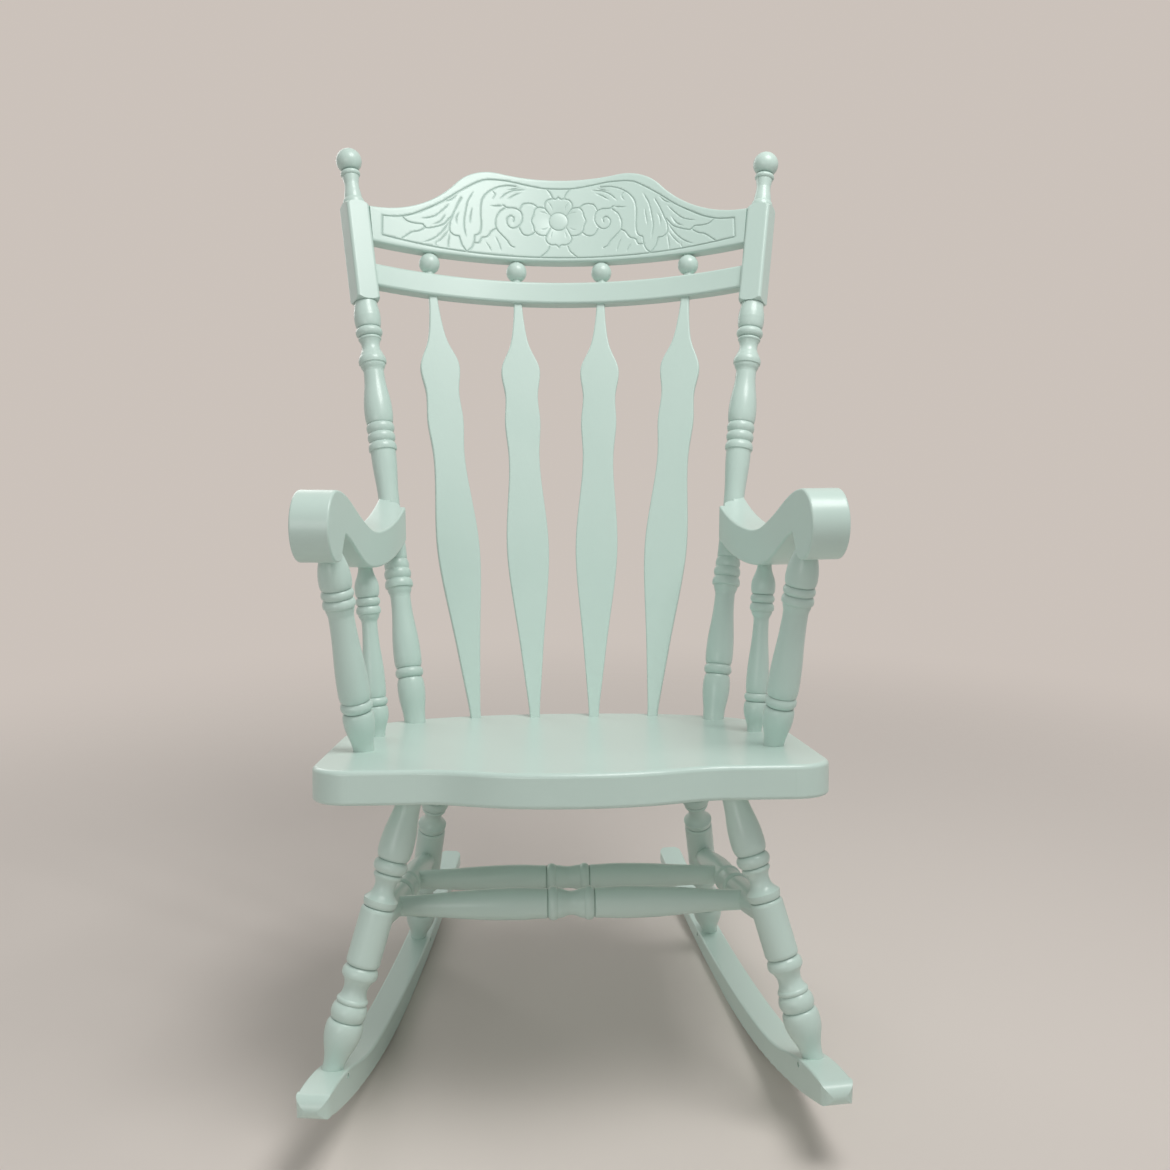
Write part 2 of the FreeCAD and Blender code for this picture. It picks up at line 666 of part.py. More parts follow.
def make_post():
    """Right back post before its mortises: turned parts above and below the block."""
    post = Turning(BACK_POST_FOOT_RADIUS, -SCRIBE)
    post.taper(BACK_POST_FOOT_RADIUS, SCRIBE)
    post.swell(BACK_POST_VASE_RADIUS, BACK_POST_VASE_HEIGHT)
    post.close_in(BACK_POST_VASE_RADIUS - 3.4, 16.0)
    post.bead(BACK_POST_RING_RADIUS, BACK_POST_RING_RADIUS - 3.0, BACK_POST_RING_HEIGHT)
    post.spring(BACK_POST_BELLY_RADIUS, 14.0)
    post.swell(BACK_POST_NECK_RADIUS, BACK_POST_NECK_AT - post.height)
    post.swell(BACK_POST_NECK_RADIUS + 3.0, 13.0)
    lower_ring = BACK_POST_LOWER_RING_RADIUS
    rings_of_three(post, lower_ring + 0.2, lower_ring, BACK_POST_LOWER_TOP_RING_RADIUS)
    post.spring(BACK_POST_WAIST_RADIUS + 1.5, 4.0)
    post.swell(BACK_POST_WAIST_RADIUS, BACK_POST_WAIST_AT - post.height)
    post.swell(BACK_POST_WAIST_RADIUS + 3.4, BACK_POST_UPPER_RING_AT - post.height)
    ring = BACK_POST_UPPER_RING_RADIUS
    rings_of_three(post, ring - 0.3, ring - 0.2, ring)
    post.spring(ring + 0.3, 16.0)
    post.swell(BACK_POST_UPPER_NECK_RADIUS, BACK_POST_UPPER_NECK_AT - post.height)
    post.swell(BACK_POST_UPPER_NECK_RADIUS + 3.4, 11.0)
    post.taper(ring - 0.4, 1.5)
    post.bead(ring, ring - 2.4, 11.5)
    post.taper(ring - 4.0, 4.0)
    post.bead(BACK_POST_COVE_RADIUS, ring - 4.6, BACK_POST_COVE_HEIGHT)
    post.bead(ring - 3.4, ring - 5.0, 5.0)
    post.bead(ring - 0.6, ring - 4.0, 14.0)
    post.spring(ring - 0.7, 16.0)
    post.swell(0.5 * BLOCK_SIDE - 1.5, BLOCK_START + 4.0 - post.height)
    post.taper(0.5 * BLOCK_SIDE - 1.5, BLOCK_LENGTH - 4.0)
    post.close_in(FINIAL_NECK_RADIUS + 2.6, 8.0)
    post.swell(FINIAL_NECK_RADIUS, FINIAL_NECK_HEIGHT)
    post.swell(FINIAL_COLLAR_RADIUS - 2.4, 13.0)
    post.bead(FINIAL_COLLAR_RADIUS, FINIAL_COLLAR_RADIUS - 6.5, 8.0)
    ball_low = math.sqrt(FINIAL_BALL_RADIUS ** 2 - post.radius ** 2)
    centre = post.height + ball_low
    turned = laid(post.solid(), POST_FOOT, on_post(1.0))
    ball = Part.makeSphere(FINIAL_BALL_RADIUS, on_post(centre))
    return biggest(turned.fuse([make_block(), ball]).removeSplitter())


def arc_band(thick, low, high, limit):
    """Band of the rails' arc between two heights up the back, to a place across each way."""
    inner = RAIL_ARC_RADIUS - 0.5 * thick
    outer = RAIL_ARC_RADIUS + 0.5 * thick
    angle = math.asin(limit / RAIL_ARC_RADIUS)
    reach_x = math.sin(angle)
    reach_y = math.cos(angle)

    def at(radius, x, y):
        return on_back(radius * x, radius * y - ARC_BACK, low)

    front = arc(at(inner, -reach_x, reach_y), at(inner, 0, 1), at(inner, reach_x, reach_y))
    back = arc(at(outer, reach_x, reach_y), at(outer, 0, 1), at(outer, -reach_x, reach_y))
    right = Part.makeLine(at(inner, reach_x, reach_y), at(outer, reach_x, reach_y))
    left = Part.makeLine(at(outer, -reach_x, reach_y), at(inner, -reach_x, reach_y))
    return solid_of([front, right, back, left], UPWARD * (high - low))


CREST_AT = LOWER_RAIL_AT + LOWER_RAIL_HEIGHT + RAIL_GAP
CREST_X = post_x(CREST_AT + 0.5 * CREST_END_HEIGHT)


def crest_sheet():
    """Flat plate with the crest rail's outline, deep enough to trim the bent board."""
    front = -2 * RAIL_THICK
    behind = RAIL_THICK + RAIL_ARC_RADIUS - ARC_BACK
    far = CREST_X + BLOCK_SIDE
    rise = CREST_HUMP_HEIGHT - CREST_CENTRE_HEIGHT
    drop = CREST_HUMP_HEIGHT - CREST_END_HEIGHT
    run = CREST_LEVEL_X - CREST_HUMP_X
    # Each pair of neighbouring arcs touches where the line between their middles crosses them.
    dip_radius = (CREST_HUMP_X**2 + rise**2) / (2 * rise) - CREST_HUMP_RADIUS
    slope_radius = (run**2 + drop**2) / (2 * drop) - CREST_HUMP_RADIUS
    dip_middle = Vector(0, CREST_CENTRE_HEIGHT + dip_radius, 0)
    hump_middle = Vector(CREST_HUMP_X, CREST_HUMP_HEIGHT - CREST_HUMP_RADIUS, 0)
    slope_middle = Vector(CREST_LEVEL_X, CREST_END_HEIGHT + slope_radius, 0)
    inner = along(dip_middle, hump_middle, dip_radius / (dip_middle - hump_middle).Length)
    outer = along(slope_middle, hump_middle, slope_radius / (slope_middle - hump_middle).Length)
    level = Vector(CREST_LEVEL_X, CREST_END_HEIGHT, 0)

    def halfway(first, last, middle, radius):
        chord = along(first, last, 0.5) - middle
        return middle + chord * (radius / chord.Length)

    def at(point, sign):
        return on_back(sign * point.x, front, CREST_AT + point.y)

    hump_top = halfway(inner, outer, hump_middle, CREST_HUMP_RADIUS)
    slope = halfway(outer, level, slope_middle, slope_radius)
    corner = Vector(far, CREST_END_HEIGHT, 0)
    foot = Vector(far, 0, 0)

    def side(sign):
        return [
            arc(at(inner, sign), at(hump_top, sign), at(outer, sign)),
            arc(at(outer, sign), at(slope, sign), at(level, sign)),
            Part.makeLine(at(level, sign), at(corner, sign)),
            Part.makeLine(at(corner, sign), at(foot, sign)),
        ]

    dip = arc(at(inner, -1), at(Vector(0, CREST_CENTRE_HEIGHT, 0), 1), at(inner, 1))
    bottom = Part.makeLine(at(foot, 1), at(foot, -1))
    edges = [dip] + side(1) + [bottom] + list(reversed(side(-1)))
    return solid_of(edges, BEHIND * (behind - front))


def rail_tenons(low, high, block_right, grow=0.0):
    """Both tenons of a rail, or with grow the mortises that they fit in."""
    shoulder = RAIL_TENON_SHOULDER - grow
    middle_x = post_x(0.5 * (low + high))
    angle = math.asin(middle_x / RAIL_ARC_RADIUS)
    short = 0.5 * BLOCK_SIDE - RAIL_TENON_LENGTH - (SOCKET_END_GAP if grow else 0.0)
    limit = RAIL_ARC_RADIUS * math.sin(angle - short / RAIL_ARC_RADIUS)
    band = arc_band(RAIL_TENON_THICK + 2 * grow, low + shoulder, high - shoulder, limit)
    return band.common(block_right), band.common(mirrored(block_right))


def rail_between(blank, low, high, block_right):
    """A bent rail trimmed to the blocks, with its two tenons."""
    body = rounded(blank, RAIL_EDGE_ROUND, lambda e: e.Length > LOWER_RAIL_X)
    shoulder = block_laid(block_prism())
    body = biggest(body.cut(shoulder).cut(mirrored(shoulder)))
    tenons = rail_tenons(low, high, block_right)
    return biggest(body.fuse(list(tenons)))


def slat_ends(index):
    """Foot and head of a slat's middle line, counted from the middle: 0.5 or 1.5 pitches."""
    foot = on_seat(index * SLAT_SEAT_PITCH, SEAT_DEPTH - SLAT_SEAT_INSET)
    head_x = index * SLAT_RAIL_PITCH
    head = on_back(head_x, rail_behind(head_x), LOWER_RAIL_AT)
    return foot, head


def make_slat(index):
    """Flat arrow-shaped slat, longer at both ends, where it is scribed."""
    foot, head = slat_ends(index)
    length = (head - foot).Length
    leaf = SLAT_LEAF_AT
    arrow = SLAT_ARROW_AT
    tip_run = length - arrow
    half_widths = [
        (-SCRIBE, 0.5 * SLAT_FOOT_WIDTH),
        (0.0, 0.5 * SLAT_FOOT_WIDTH),
        (0.16 * leaf, 0.5 * (0.86 * SLAT_FOOT_WIDTH + 0.14 * SLAT_LEAF_WIDTH)),
        (0.49 * leaf, 0.5 * (0.5 * SLAT_FOOT_WIDTH + 0.5 * SLAT_LEAF_WIDTH)),
        (0.8 * leaf, 0.5 * (0.12 * SLAT_FOOT_WIDTH + 0.88 * SLAT_LEAF_WIDTH)),
        (leaf, 0.5 * SLAT_LEAF_WIDTH),
        (0.5 * (leaf + SLAT_WAIST_AT), 0.5 * (0.37 * SLAT_LEAF_WIDTH + 0.63 * SLAT_WAIST_WIDTH)),
        (SLAT_WAIST_AT, 0.5 * SLAT_WAIST_WIDTH),
        (SLAT_BUMP_AT, 0.5 * SLAT_BUMP_WIDTH),
        (SLAT_UPPER_WAIST_AT, 0.5 * SLAT_UPPER_WAIST_WIDTH),
        (arrow, 0.5 * SLAT_ARROW_WIDTH),
        (arrow + 0.3 * tip_run, 0.5 * (0.45 * SLAT_ARROW_WIDTH + 0.55 * SLAT_TIP_WIDTH)),
        (arrow + 0.58 * tip_run, 0.5 * (0.16 * SLAT_ARROW_WIDTH + 0.84 * SLAT_TIP_WIDTH)),
        (length, 0.5 * SLAT_TIP_WIDTH),
        (length + SCRIBE, 0.5 * SLAT_TIP_WIDTH),
    ]
    half_thick = 0.5 * SLAT_THICK
    right = [Vector(w, -half_thick, s) for s, w in half_widths]
    left = [Vector(-w, -half_thick, s) for s, w in half_widths]
    edges = [
        spline(right),
        Part.makeLine(right[-1], left[-1]),
        spline(left),
        Part.makeLine(left[0], right[0]),
    ]
    board = solid_of(edges, Vector(0, SLAT_THICK, 0))
    board = rounded(board, SLAT_EDGE_ROUND, lambda e: e.Length > leaf)
    turn = SLAT_TURN_SHARE * math.asin(head.x / RAIL_ARC_RADIUS)
    facing = Vector(1, 0, 0) * math.cos(turn) - BEHIND * math.sin(turn)
    return laid(board, foot, head, facing)


def ball_spindle(index):
    """Turned ball between the rails, above a slat, with its necks and dowels."""
    foot, head = slat_ends(index)
    low = LOWER_RAIL_AT + LOWER_RAIL_HEIGHT
    lean = (head.x - foot.x) / (head - foot).Length
    x = head.x + lean * (LOWER_RAIL_HEIGHT + 0.5 * RAIL_GAP)
    start = on_back(x, rail_behind(x), low)
    end = on_back(x, rail_behind(x), low + RAIL_GAP)
    neck = Part.makeCylinder(BALL_NECK_RADIUS, RAIL_GAP, start, UPWARD)
    ball = Part.makeSphere(BALL_RADIUS, along(start, end, 0.5))
    dowel = rod(start, end, BALL_TENON_RADIUS, BALL_TENON_LENGTH, BALL_TENON_LENGTH)
    socket_more = BALL_TENON_LENGTH + SOCKET_END_GAP
    socket = rod(start, end, BALL_TENON_RADIUS + GLUE_GAP, socket_more, socket_more)
    return biggest(ball.fuse([neck, dowel])), socket


# The arm's own frame: reach back from the middle of its rolled end, and height.
ARM_TOE = math.radians(ARM_TOE_OUT)


def on_arm(reach, height, aside=0.0):
    """Point of the right arm's middle plane, or a distance aside of it."""
    x = ARM_SCROLL_X - reach * math.sin(ARM_TOE) + aside * math.cos(ARM_TOE)
    y = ARM_SCROLL_Y + reach * math.cos(ARM_TOE) + aside * math.sin(ARM_TOE)
    return Vector(x, y, height)


ARM_POST_HEIGHT = 0.5 * (ARM_REAR_TOP_Z + ARM_REAR_BOTTOM_Z)
ARM_POST_AXIS = on_post((ARM_POST_HEIGHT - POST_FOOT.z) / (UPWARD.z * math.cos(SPLAY)))
ARM_REAR_REACH = (ARM_POST_AXIS.y - ARM_SCROLL_Y) / math.cos(ARM_TOE)


def arm_profile():
    """Side outline of an arm, as edges in its own plane."""
    roll = ARM_SCROLL_RADIUS
    z = ARM_SCROLL_Z
    dip = ARM_DIP_REACH
    rear = ARM_REAR_REACH
    drop = z + roll - ARM_DIP_TOP_Z
    top = Vector(0, 0, z + roll)
    front = Vector(-roll, 0, z)
    low = Vector(0.08 * roll, 0, z - math.sqrt(1 - 0.08 ** 2) * roll)
    tip = Vector(0.27 * roll, 0, z - 0.93 * roll)
    tip_up = Vector(0.37 * roll, 0, z - 0.78 * roll)
    crotch = Vector(0.74 * roll, 0, z - 0.31 * roll)
    upper = [
        top,
        Vector(0.23 * dip, 0, z + roll - 0.2 * drop),
        Vector(0.42 * dip, 0, z + roll - 0.5 * drop),
        Vector(0.57 * dip, 0, z + roll - 0.715 * drop),
        Vector(0.75 * dip, 0, z + roll - 0.915 * drop),
        Vector(dip, 0, ARM_DIP_TOP_Z),
        Vector(0.5 * (dip + rear), 0, 0.8 * ARM_DIP_TOP_Z + 0.2 * ARM_REAR_TOP_Z),
        Vector(rear, 0, ARM_REAR_TOP_Z),
    ]
    fall = crotch.z - ARM_BOTTOM_Z
    under = [
        crotch,
        Vector(0.33 * dip, 0, ARM_BOTTOM_Z + 0.66 * fall),
        Vector(0.52 * dip, 0, ARM_BOTTOM_Z + 0.29 * fall),
        Vector(0.75 * dip, 0, ARM_BOTTOM_Z + 0.07 * fall),
        Vector(0.97 * dip, 0, ARM_BOTTOM_Z),
        Vector(0.4 * dip + 0.6 * rear, 0, 0.74 * ARM_BOTTOM_Z + 0.26 * ARM_REAR_BOTTOM_Z),
        Vector(rear, 0, ARM_REAR_BOTTOM_Z),
    ]
    return [
        arc(top, front, low),
        arc(low, tip, tip_up),
        Part.makeLine(tip_up, crotch),
        spline(under),
        Part.makeLine(under[-1], upper[-1]),
        spline(upper),
    ]


def arm_side_edge(edge):
    """Whether an edge runs round a side face of the arm, but not across its rear end."""
    box = edge.BoundBox
    return box.YMax - box.YMin < 0.01 and box.XMin < ARM_REAR_REACH - 1.0


def make_arm():
    """Right arm before its sockets, its edges softened, running back to the post's axis."""
    half = 0.5 * ARM_WIDTH
    body = solid_of(arm_profile(), Vector(0, ARM_WIDTH, 0))
    body = rounded(body, ARM_EDGE_ROUND, arm_side_edge)
    body.translate(Vector(0, -half, 0))
    back = Vector(-math.sin(ARM_TOE), math.cos(ARM_TOE), 0)
    side = Vector(math.cos(ARM_TOE), math.sin(ARM_TOE), 0)
    at = on_arm(0, 0)
    turn_to = Matrix(back.x, -side.x, 0, at.x, back.y, -side.y, 0, at.y, 0, 0, 1, 0, 0, 0, 0, 1)
    body.Placement = Placement(turn_to).multiply(body.Placement)
    return body


def arm_corner():
    """What the rounded outer rear corner takes off the arm, beside the post."""
    radius = ARM_REAR_CORNER_ROUND
    end = ARM_REAR_REACH - BACK_POST_WAIST_RADIUS
    outside = 0.5 * ARM_WIDTH
    tall = 4 * ARM_WIDTH
    low = ARM_BOTTOM_Z - ARM_WIDTH
    start = on_arm(end - radius, low, outside - radius)
    far = on_arm(end + 2 * radius, low, outside - radius)
    block = Part.makeBox(3 * radius, 2 * radius, tall)
    block = laid(block, start, start + Vector(0, 0, 1), far - start)
    post = Part.makeCylinder(radius, tall, start)
    return block.cut(post)


def arm_underside(reach, arm):
    """Point where a vertical line through the arm's middle plane meets its underside."""
    low = on_arm(reach, ARM_BOTTOM_Z - ARM_WIDTH)
    inside = Part.makeLine(low, on_arm(reach, ARM_SCROLL_Z)).common(arm)
    return Vector(low.x, low.y, min(end.Z for end in inside.Vertexes))


def arm_post(foot, head, sizes):
    """Turned post from the seat to the arm, longer at both ends, where it is scribed."""
    foot_r, vase_r, vase_h, ring_r, ring_h, belly_r, neck_r, neck_at, top_r = sizes
    length = (head - foot).Length
    post = Turning(foot_r, -SCRIBE)
    post.taper(foot_r, SCRIBE)
    post.swell(vase_r, vase_h)
    post.close_in(vase_r - 3.0, 9.0)
    post.bead(ring_r, ring_r - 2.8, ring_h)
    post.spring(belly_r, 11.0)
    post.swell(neck_r, neck_at - post.height)
    post.swell(ring_r - 2.2, 11.0)
    post.taper(ring_r - 0.4, 1.5)
    post.bead(ring_r, ring_r - 2.6, 9.5)
    post.bead(ring_r, ring_r - 2.8, 11.0)
    post.spring(ring_r, 10.0)
    post.swell(top_r, length - post.height)
    post.taper(top_r, SCRIBE)
    return laid(post.solid(), foot, head)


def tenoned(blank, keepers, first, second, sizes):
    """A turned piece scribed to its neighbours, with a round tenon at each end."""
    first_radius, first_length, second_radius, second_length = sizes
    body = biggest(blank.cut(keepers))
    first_tenon = rod(first, second, first_radius, first_length, -0.6 * (second - first).Length)
    second_tenon = rod(first, second, second_radius, -0.6 * (second - first).Length, second_length)
    return biggest(body.fuse([first_tenon, second_tenon]))


def socket(at, toward, radius, length):
    """Hole for a round tenon that comes from toward and enters its neighbour at a point."""
    away = SCRIBE - (toward - at).Length
    return rod(at, toward, radius + GLUE_GAP, length + SOCKET_END_GAP, away)


def both(cutters):
    """The cutters of the right side, with their mirror images."""
    return cutters + [mirrored(cutter) for cutter in cutters]


def save(node, shape):
    """Write one piece of the chair to its own file."""
    shape.exportStep("parts/" + node + ".step")


def save_pair(node, right):
    """Write a right piece, and its mirror image on the left."""
    save(node + "_right", right)
    save(node + "_left", mirrored(right))


# Blanks first: every piece at its place, before anything is scribed or bored.
slab = seat_slab()
rocker_blank = make_rocker()
front_leg_blank = make_leg(FRONT_LEG_FOOT, FRONT_LEG_HEAD)
rear_leg_blank = make_leg(REAR_LEG_FOOT, REAR_LEG_HEAD)
post_blank = make_post()
block_blank = biggest(make_block())
arm_blank = make_arm().cut(arm_corner())

# Side stretchers run from leg to leg, and the cross stretchers from one of them to the other.
FRONT_SHARE = SIDE_STRETCHER_FRONT_HEIGHT / (FRONT_LEG_HEAD - FRONT_LEG_FOOT).Length
REAR_SHARE = SIDE_STRETCHER_REAR_HEIGHT / (REAR_LEG_HEAD - REAR_LEG_FOOT).Length
SIDE_START = along(FRONT_LEG_FOOT, FRONT_LEG_HEAD, FRONT_SHARE)
SIDE_END = along(REAR_LEG_FOOT, REAR_LEG_HEAD, REAR_SHARE)
LEG_SHARE = LEG_BARREL_RADIUS / (SIDE_END - SIDE_START).Length
SIDE_FIRST = along(SIDE_START, SIDE_END, LEG_SHARE)
SIDE_LAST = along(SIDE_END, SIDE_START, LEG_SHARE)
side_blank = stretcher(SIDE_START, SIDE_END, STRETCHER_END_RADIUS, SIDE_STRETCHER_BODY_RADIUS)
side_sizes = (SIDE_TENON_RADIUS, SIDE_TENON_LENGTH, SIDE_TENON_RADIUS, SIDE_TENON_LENGTH)
side_legs = [front_leg_blank, rear_leg_blank]
side_stretcher = tenoned(side_blank, side_legs, SIDE_FIRST, SIDE_LAST, side_sizes)
side_front_socket = socket(SIDE_FIRST, SIDE_LAST, SIDE_TENON_RADIUS, SIDE_TENON_LENGTH)
side_rear_socket = socket(SIDE_LAST, SIDE_FIRST, SIDE_TENON_RADIUS, SIDE_TENON_LENGTH)
cross_sockets = []
for name, share, body_radius in (
    ("front_cross_stretcher", FRONT_CROSS_AT, FRONT_CROSS_BODY_RADIUS),
    ("rear_cross_stretcher", REAR_CROSS_AT, REAR_CROSS_BODY_RADIUS),
):
    right_end = along(SIDE_START, SIDE_END, share)
    left_end = Vector(-right_end.x, right_end.y, right_end.z)
    across = Vector(SIDE_STRETCHER_BODY_RADIUS, 0, 0)
    cross = stretcher(left_end, right_end, STRETCHER_END_RADIUS, body_radius)
    cross_sizes = (CROSS_TENON_RADIUS, CROSS_TENON_LENGTH, CROSS_TENON_RADIUS, CROSS_TENON_LENGTH)
    sides = [side_blank, mirrored(side_blank)]
    save(name, tenoned(cross, sides, left_end + across, right_end - across, cross_sizes))
    entry = right_end - across
    cross_sockets.append(socket(entry, left_end, CROSS_TENON_RADIUS, CROSS_TENON_LENGTH))
save_pair("side_stretcher", side_stretcher.cut(cross_sockets))

# Legs stand in the rockers, held by a pin, and in the seat.
seat_cutters = []
rocker_cutters = []
for name, blank, foot, head, side_socket in (
    ("front", front_leg_blank, FRONT_LEG_FOOT, FRONT_LEG_HEAD, side_front_socket),
    ("rear", rear_leg_blank, REAR_LEG_FOOT, REAR_LEG_HEAD, side_rear_socket),
):
    leg_sizes = (FOOT_TENON_RADIUS, FOOT_TENON_LENGTH, SEAT_TENON_RADIUS, SEAT_TENON_LENGTH)
    leg = tenoned(blank, [slab, rocker_blank], foot, head, leg_sizes)
    pin_middle = along(foot, head, -0.5 * FOOT_TENON_LENGTH / (head - foot).Length)
    pin_across = on_rocker(0, 0, 0.5 * ROCKER_WIDTH) - on_rocker(0, 0)
    pin = rod(pin_middle - pin_across, pin_middle + pin_across, ROCKER_PIN_RADIUS)
    pin_hole = rod(
        pin_middle - pin_across,
        pin_middle + pin_across,
        ROCKER_PIN_RADIUS + PIN_GAP,
        SCRIBE,
        SCRIBE,
    )
    save_pair(name + "_leg", leg.cut([side_socket, pin_hole]))
    save_pair(name + "_rocker_pin", pin)
    seat_cutters.append(socket(head, foot, SEAT_TENON_RADIUS, SEAT_TENON_LENGTH))
    rocker_cutters.append(socket(foot, head, FOOT_TENON_RADIUS, FOOT_TENON_LENGTH))
    rocker_cutters.append(pin_hole)
save_pair("rocker", rocker_blank.cut(rocker_cutters))

# Rails, their pins, and the mortises that the back posts need for them.
post_up = on_post(1.0) - POST_FOOT
post_behind = post_up.cross(BLOCK_FACING)
post_behind.normalize()
post_outward = post_behind.cross(post_up)
LOWER_RAIL_TOP = LOWER_RAIL_AT + LOWER_RAIL_HEIGHT
CREST_END_TOP = CREST_AT + CREST_END_HEIGHT
lower_blank = arc_band(RAIL_THICK, LOWER_RAIL_AT, LOWER_RAIL_TOP, LOWER_RAIL_X)
crest_board = arc_band(RAIL_THICK, CREST_AT, CREST_AT + 1.2 * CREST_HUMP_HEIGHT, CREST_X)
crest_blank = biggest(crest_board.common(crest_sheet()))
lower_rail = rail_between(lower_blank, LOWER_RAIL_AT, LOWER_RAIL_TOP, block_blank)
crest_rail = rail_between(crest_blank, CREST_AT, CREST_END_TOP, block_blank)
post_cutters = []
pin_holes = []
for name, low, high in (
    ("lower_rail_pin", LOWER_RAIL_AT, LOWER_RAIL_TOP),
    ("crest_rail_pin", CREST_AT, CREST_END_TOP),
):
    post_cutters.append(rail_tenons(low, high, block_blank, GLUE_GAP)[0])
    middle = on_post(0.5 * (low + high) / math.cos(SPLAY))
    inside = middle - post_outward * (0.5 * (BLOCK_SIDE - RAIL_TENON_LENGTH))
    outer = inside + post_behind * (0.5 * BLOCK_SIDE)
    # The pin goes through the tenon, which lies on the rails' arc, and stops beyond it.
    inner = inside + post_behind * (rail_behind(inside.x) - RAIL_TENON_THICK)
    save_pair(name, rod(outer, inner, PIN_RADIUS))
    pin_holes.append(rod(outer, inner, PIN_RADIUS + PIN_GAP, SCRIBE, PIN_GAP))

# Slats and turned balls between the seat and the rails.
rail_cutters = []
crest_cutters = []
for side, sign in (("left", -1), ("right", 1)):
    for place, pitches in (("inner", 0.5), ("outer", 1.5)):
        index = sign * pitches
        foot, head = slat_ends(index)
        slat_sizes = (SLAT_TENON_RADIUS, SLAT_TENON_LENGTH, SLAT_TENON_RADIUS, SLAT_TENON_LENGTH)
        slat = tenoned(make_slat(index), [slab, lower_blank], foot, head, slat_sizes)
        save("arrow_slat_" + place + "_" + side, slat)
        seat_cutters.append(socket(foot, head, SLAT_TENON_RADIUS, SLAT_TENON_LENGTH))
        rail_cutters.append(socket(head, foot, SLAT_TENON_RADIUS, SLAT_TENON_LENGTH))
        ball, ball_socket = ball_spindle(index)
        save("ball_spindle_" + place + "_" + side, ball)
        rail_cutters.append(ball_socket)
        crest_cutters.append(ball_socket)
save("lower_rail", lower_rail.cut(rail_cutters + both(pin_holes[:1])))
save("crest_rail", crest_rail.cut(crest_cutters + both(pin_holes[1:])))

# Arms butt on the fronts of the back posts, and a screw from behind holds each one.
arm_back = on_arm(1, 0) - on_arm(0, 0)
waist = BACK_POST_WAIST_RADIUS
head_out = ARM_POST_AXIS + arm_back * (waist - PLUG_LENGTH)
head_in = head_out - arm_back * SCREW_HEAD_HEIGHT
shank_end = ARM_POST_AXIS - arm_back * (waist + SCREW_GRIP)
screw_head = Part.makeCone(
    SCREW_HEAD_RADIUS, SCREW_RADIUS, SCREW_HEAD_HEIGHT, head_out, arm_back * -1.0
)
screw = biggest(screw_head.fuse(rod(head_in, shank_end, SCREW_RADIUS, 0.5 * SCREW_HEAD_HEIGHT)))
bore_radius = SCREW_HEAD_RADIUS + PIN_GAP
head_bore = rod(head_out, head_in, bore_radius, 3 * PLUG_LENGTH, PIN_GAP)
shank_bore = rod(head_in, shank_end, SCREW_RADIUS + PIN_GAP, 0.0, PIN_GAP)
plug = rod(head_out + arm_back * PLUG_LENGTH, head_out, SCREW_HEAD_RADIUS, 1.0)
save_pair("arm_screw", screw)
save_pair("arm_screw_plug", biggest(plug))

# Arm posts stand in the seat and reach up into the arms.
arm_cutters = [shank_bore]
front_sizes = (
    FRONT_POST_FOOT_RADIUS,
    FRONT_POST_VASE_RADIUS,
    FRONT_POST_VASE_HEIGHT,
    FRONT_POST_RING_RADIUS,
    FRONT_POST_RING_HEIGHT,
    FRONT_POST_BELLY_RADIUS,
    FRONT_POST_NECK_RADIUS,
    FRONT_POST_NECK_AT,
    FRONT_POST_TOP_RADIUS,
)
middle_sizes = (
    MIDDLE_POST_FOOT_RADIUS,
    MIDDLE_POST_VASE_RADIUS,
    MIDDLE_POST_VASE_HEIGHT,
    MIDDLE_POST_RING_RADIUS,
    MIDDLE_POST_RING_HEIGHT,
    MIDDLE_POST_BELLY_RADIUS,
    MIDDLE_POST_NECK_RADIUS,
    MIDDLE_POST_NECK_AT,
    MIDDLE_POST_TOP_RADIUS,
)
for name, inset, depth, reach, sizes in (
    ("front", FRONT_POST_SEAT_INSET, FRONT_POST_SEAT_DEPTH, FRONT_POST_ARM_REACH, front_sizes),
    ("middle", MIDDLE_POST_SEAT_INSET, MIDDLE_POST_SEAT_DEPTH, MIDDLE_POST_ARM_REACH, middle_sizes),
):
    foot = on_seat(SEAT_HALF_WIDTH - inset, depth)
    head = arm_underside(reach, arm_blank)
    tenon_sizes = (ARM_TENON_RADIUS, SEAT_TENON_LENGTH, ARM_TENON_RADIUS, ARM_TENON_LENGTH)
    post = tenoned(arm_post(foot, head, sizes), [slab, arm_blank], foot, head, tenon_sizes)
    save_pair(name + "_arm_post", post)
    seat_cutters.append(socket(foot, head, ARM_TENON_RADIUS, SEAT_TENON_LENGTH))
    arm_cutters.append(socket(head, foot, ARM_TENON_RADIUS, ARM_TENON_LENGTH))
save_pair("arm", biggest(arm_blank.cut(post_blank)).cut(arm_cutters))

post_tenon = rod(POST_FOOT, on_post(BACK_POST_VASE_HEIGHT), SEAT_TENON_RADIUS, SEAT_TENON_LENGTH)
back_post = biggest(post_blank.cut(slab)).fuse(post_tenon)
save_pair("back_post", biggest(back_post).cut(post_cutters + pin_holes + [head_bore, shank_bore]))
post_above = on_post(BACK_POST_VASE_HEIGHT)
seat_cutters.append(socket(POST_FOOT, post_above, SEAT_TENON_RADIUS, SEAT_TENON_LENGTH))
save("seat", make_seat().cut(both(seat_cutters)))
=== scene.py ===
"""Looks of the painted rocking chair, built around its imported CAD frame.

Every CAD node stays where it is and takes a finish. The crest rail is the one piece that is
made anew, because its front is carved. Lengths are metres in the row frame: X runs to the right
as seen from the front, Y to the back and Z up.
"""

from __future__ import annotations

import logging
import math
from dataclasses import dataclass, field
from enum import Enum
from typing import Iterable, Sequence

import bmesh
import bpy
import numpy as np
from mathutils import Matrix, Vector
from mathutils.geometry import delaunay_2d_cdt

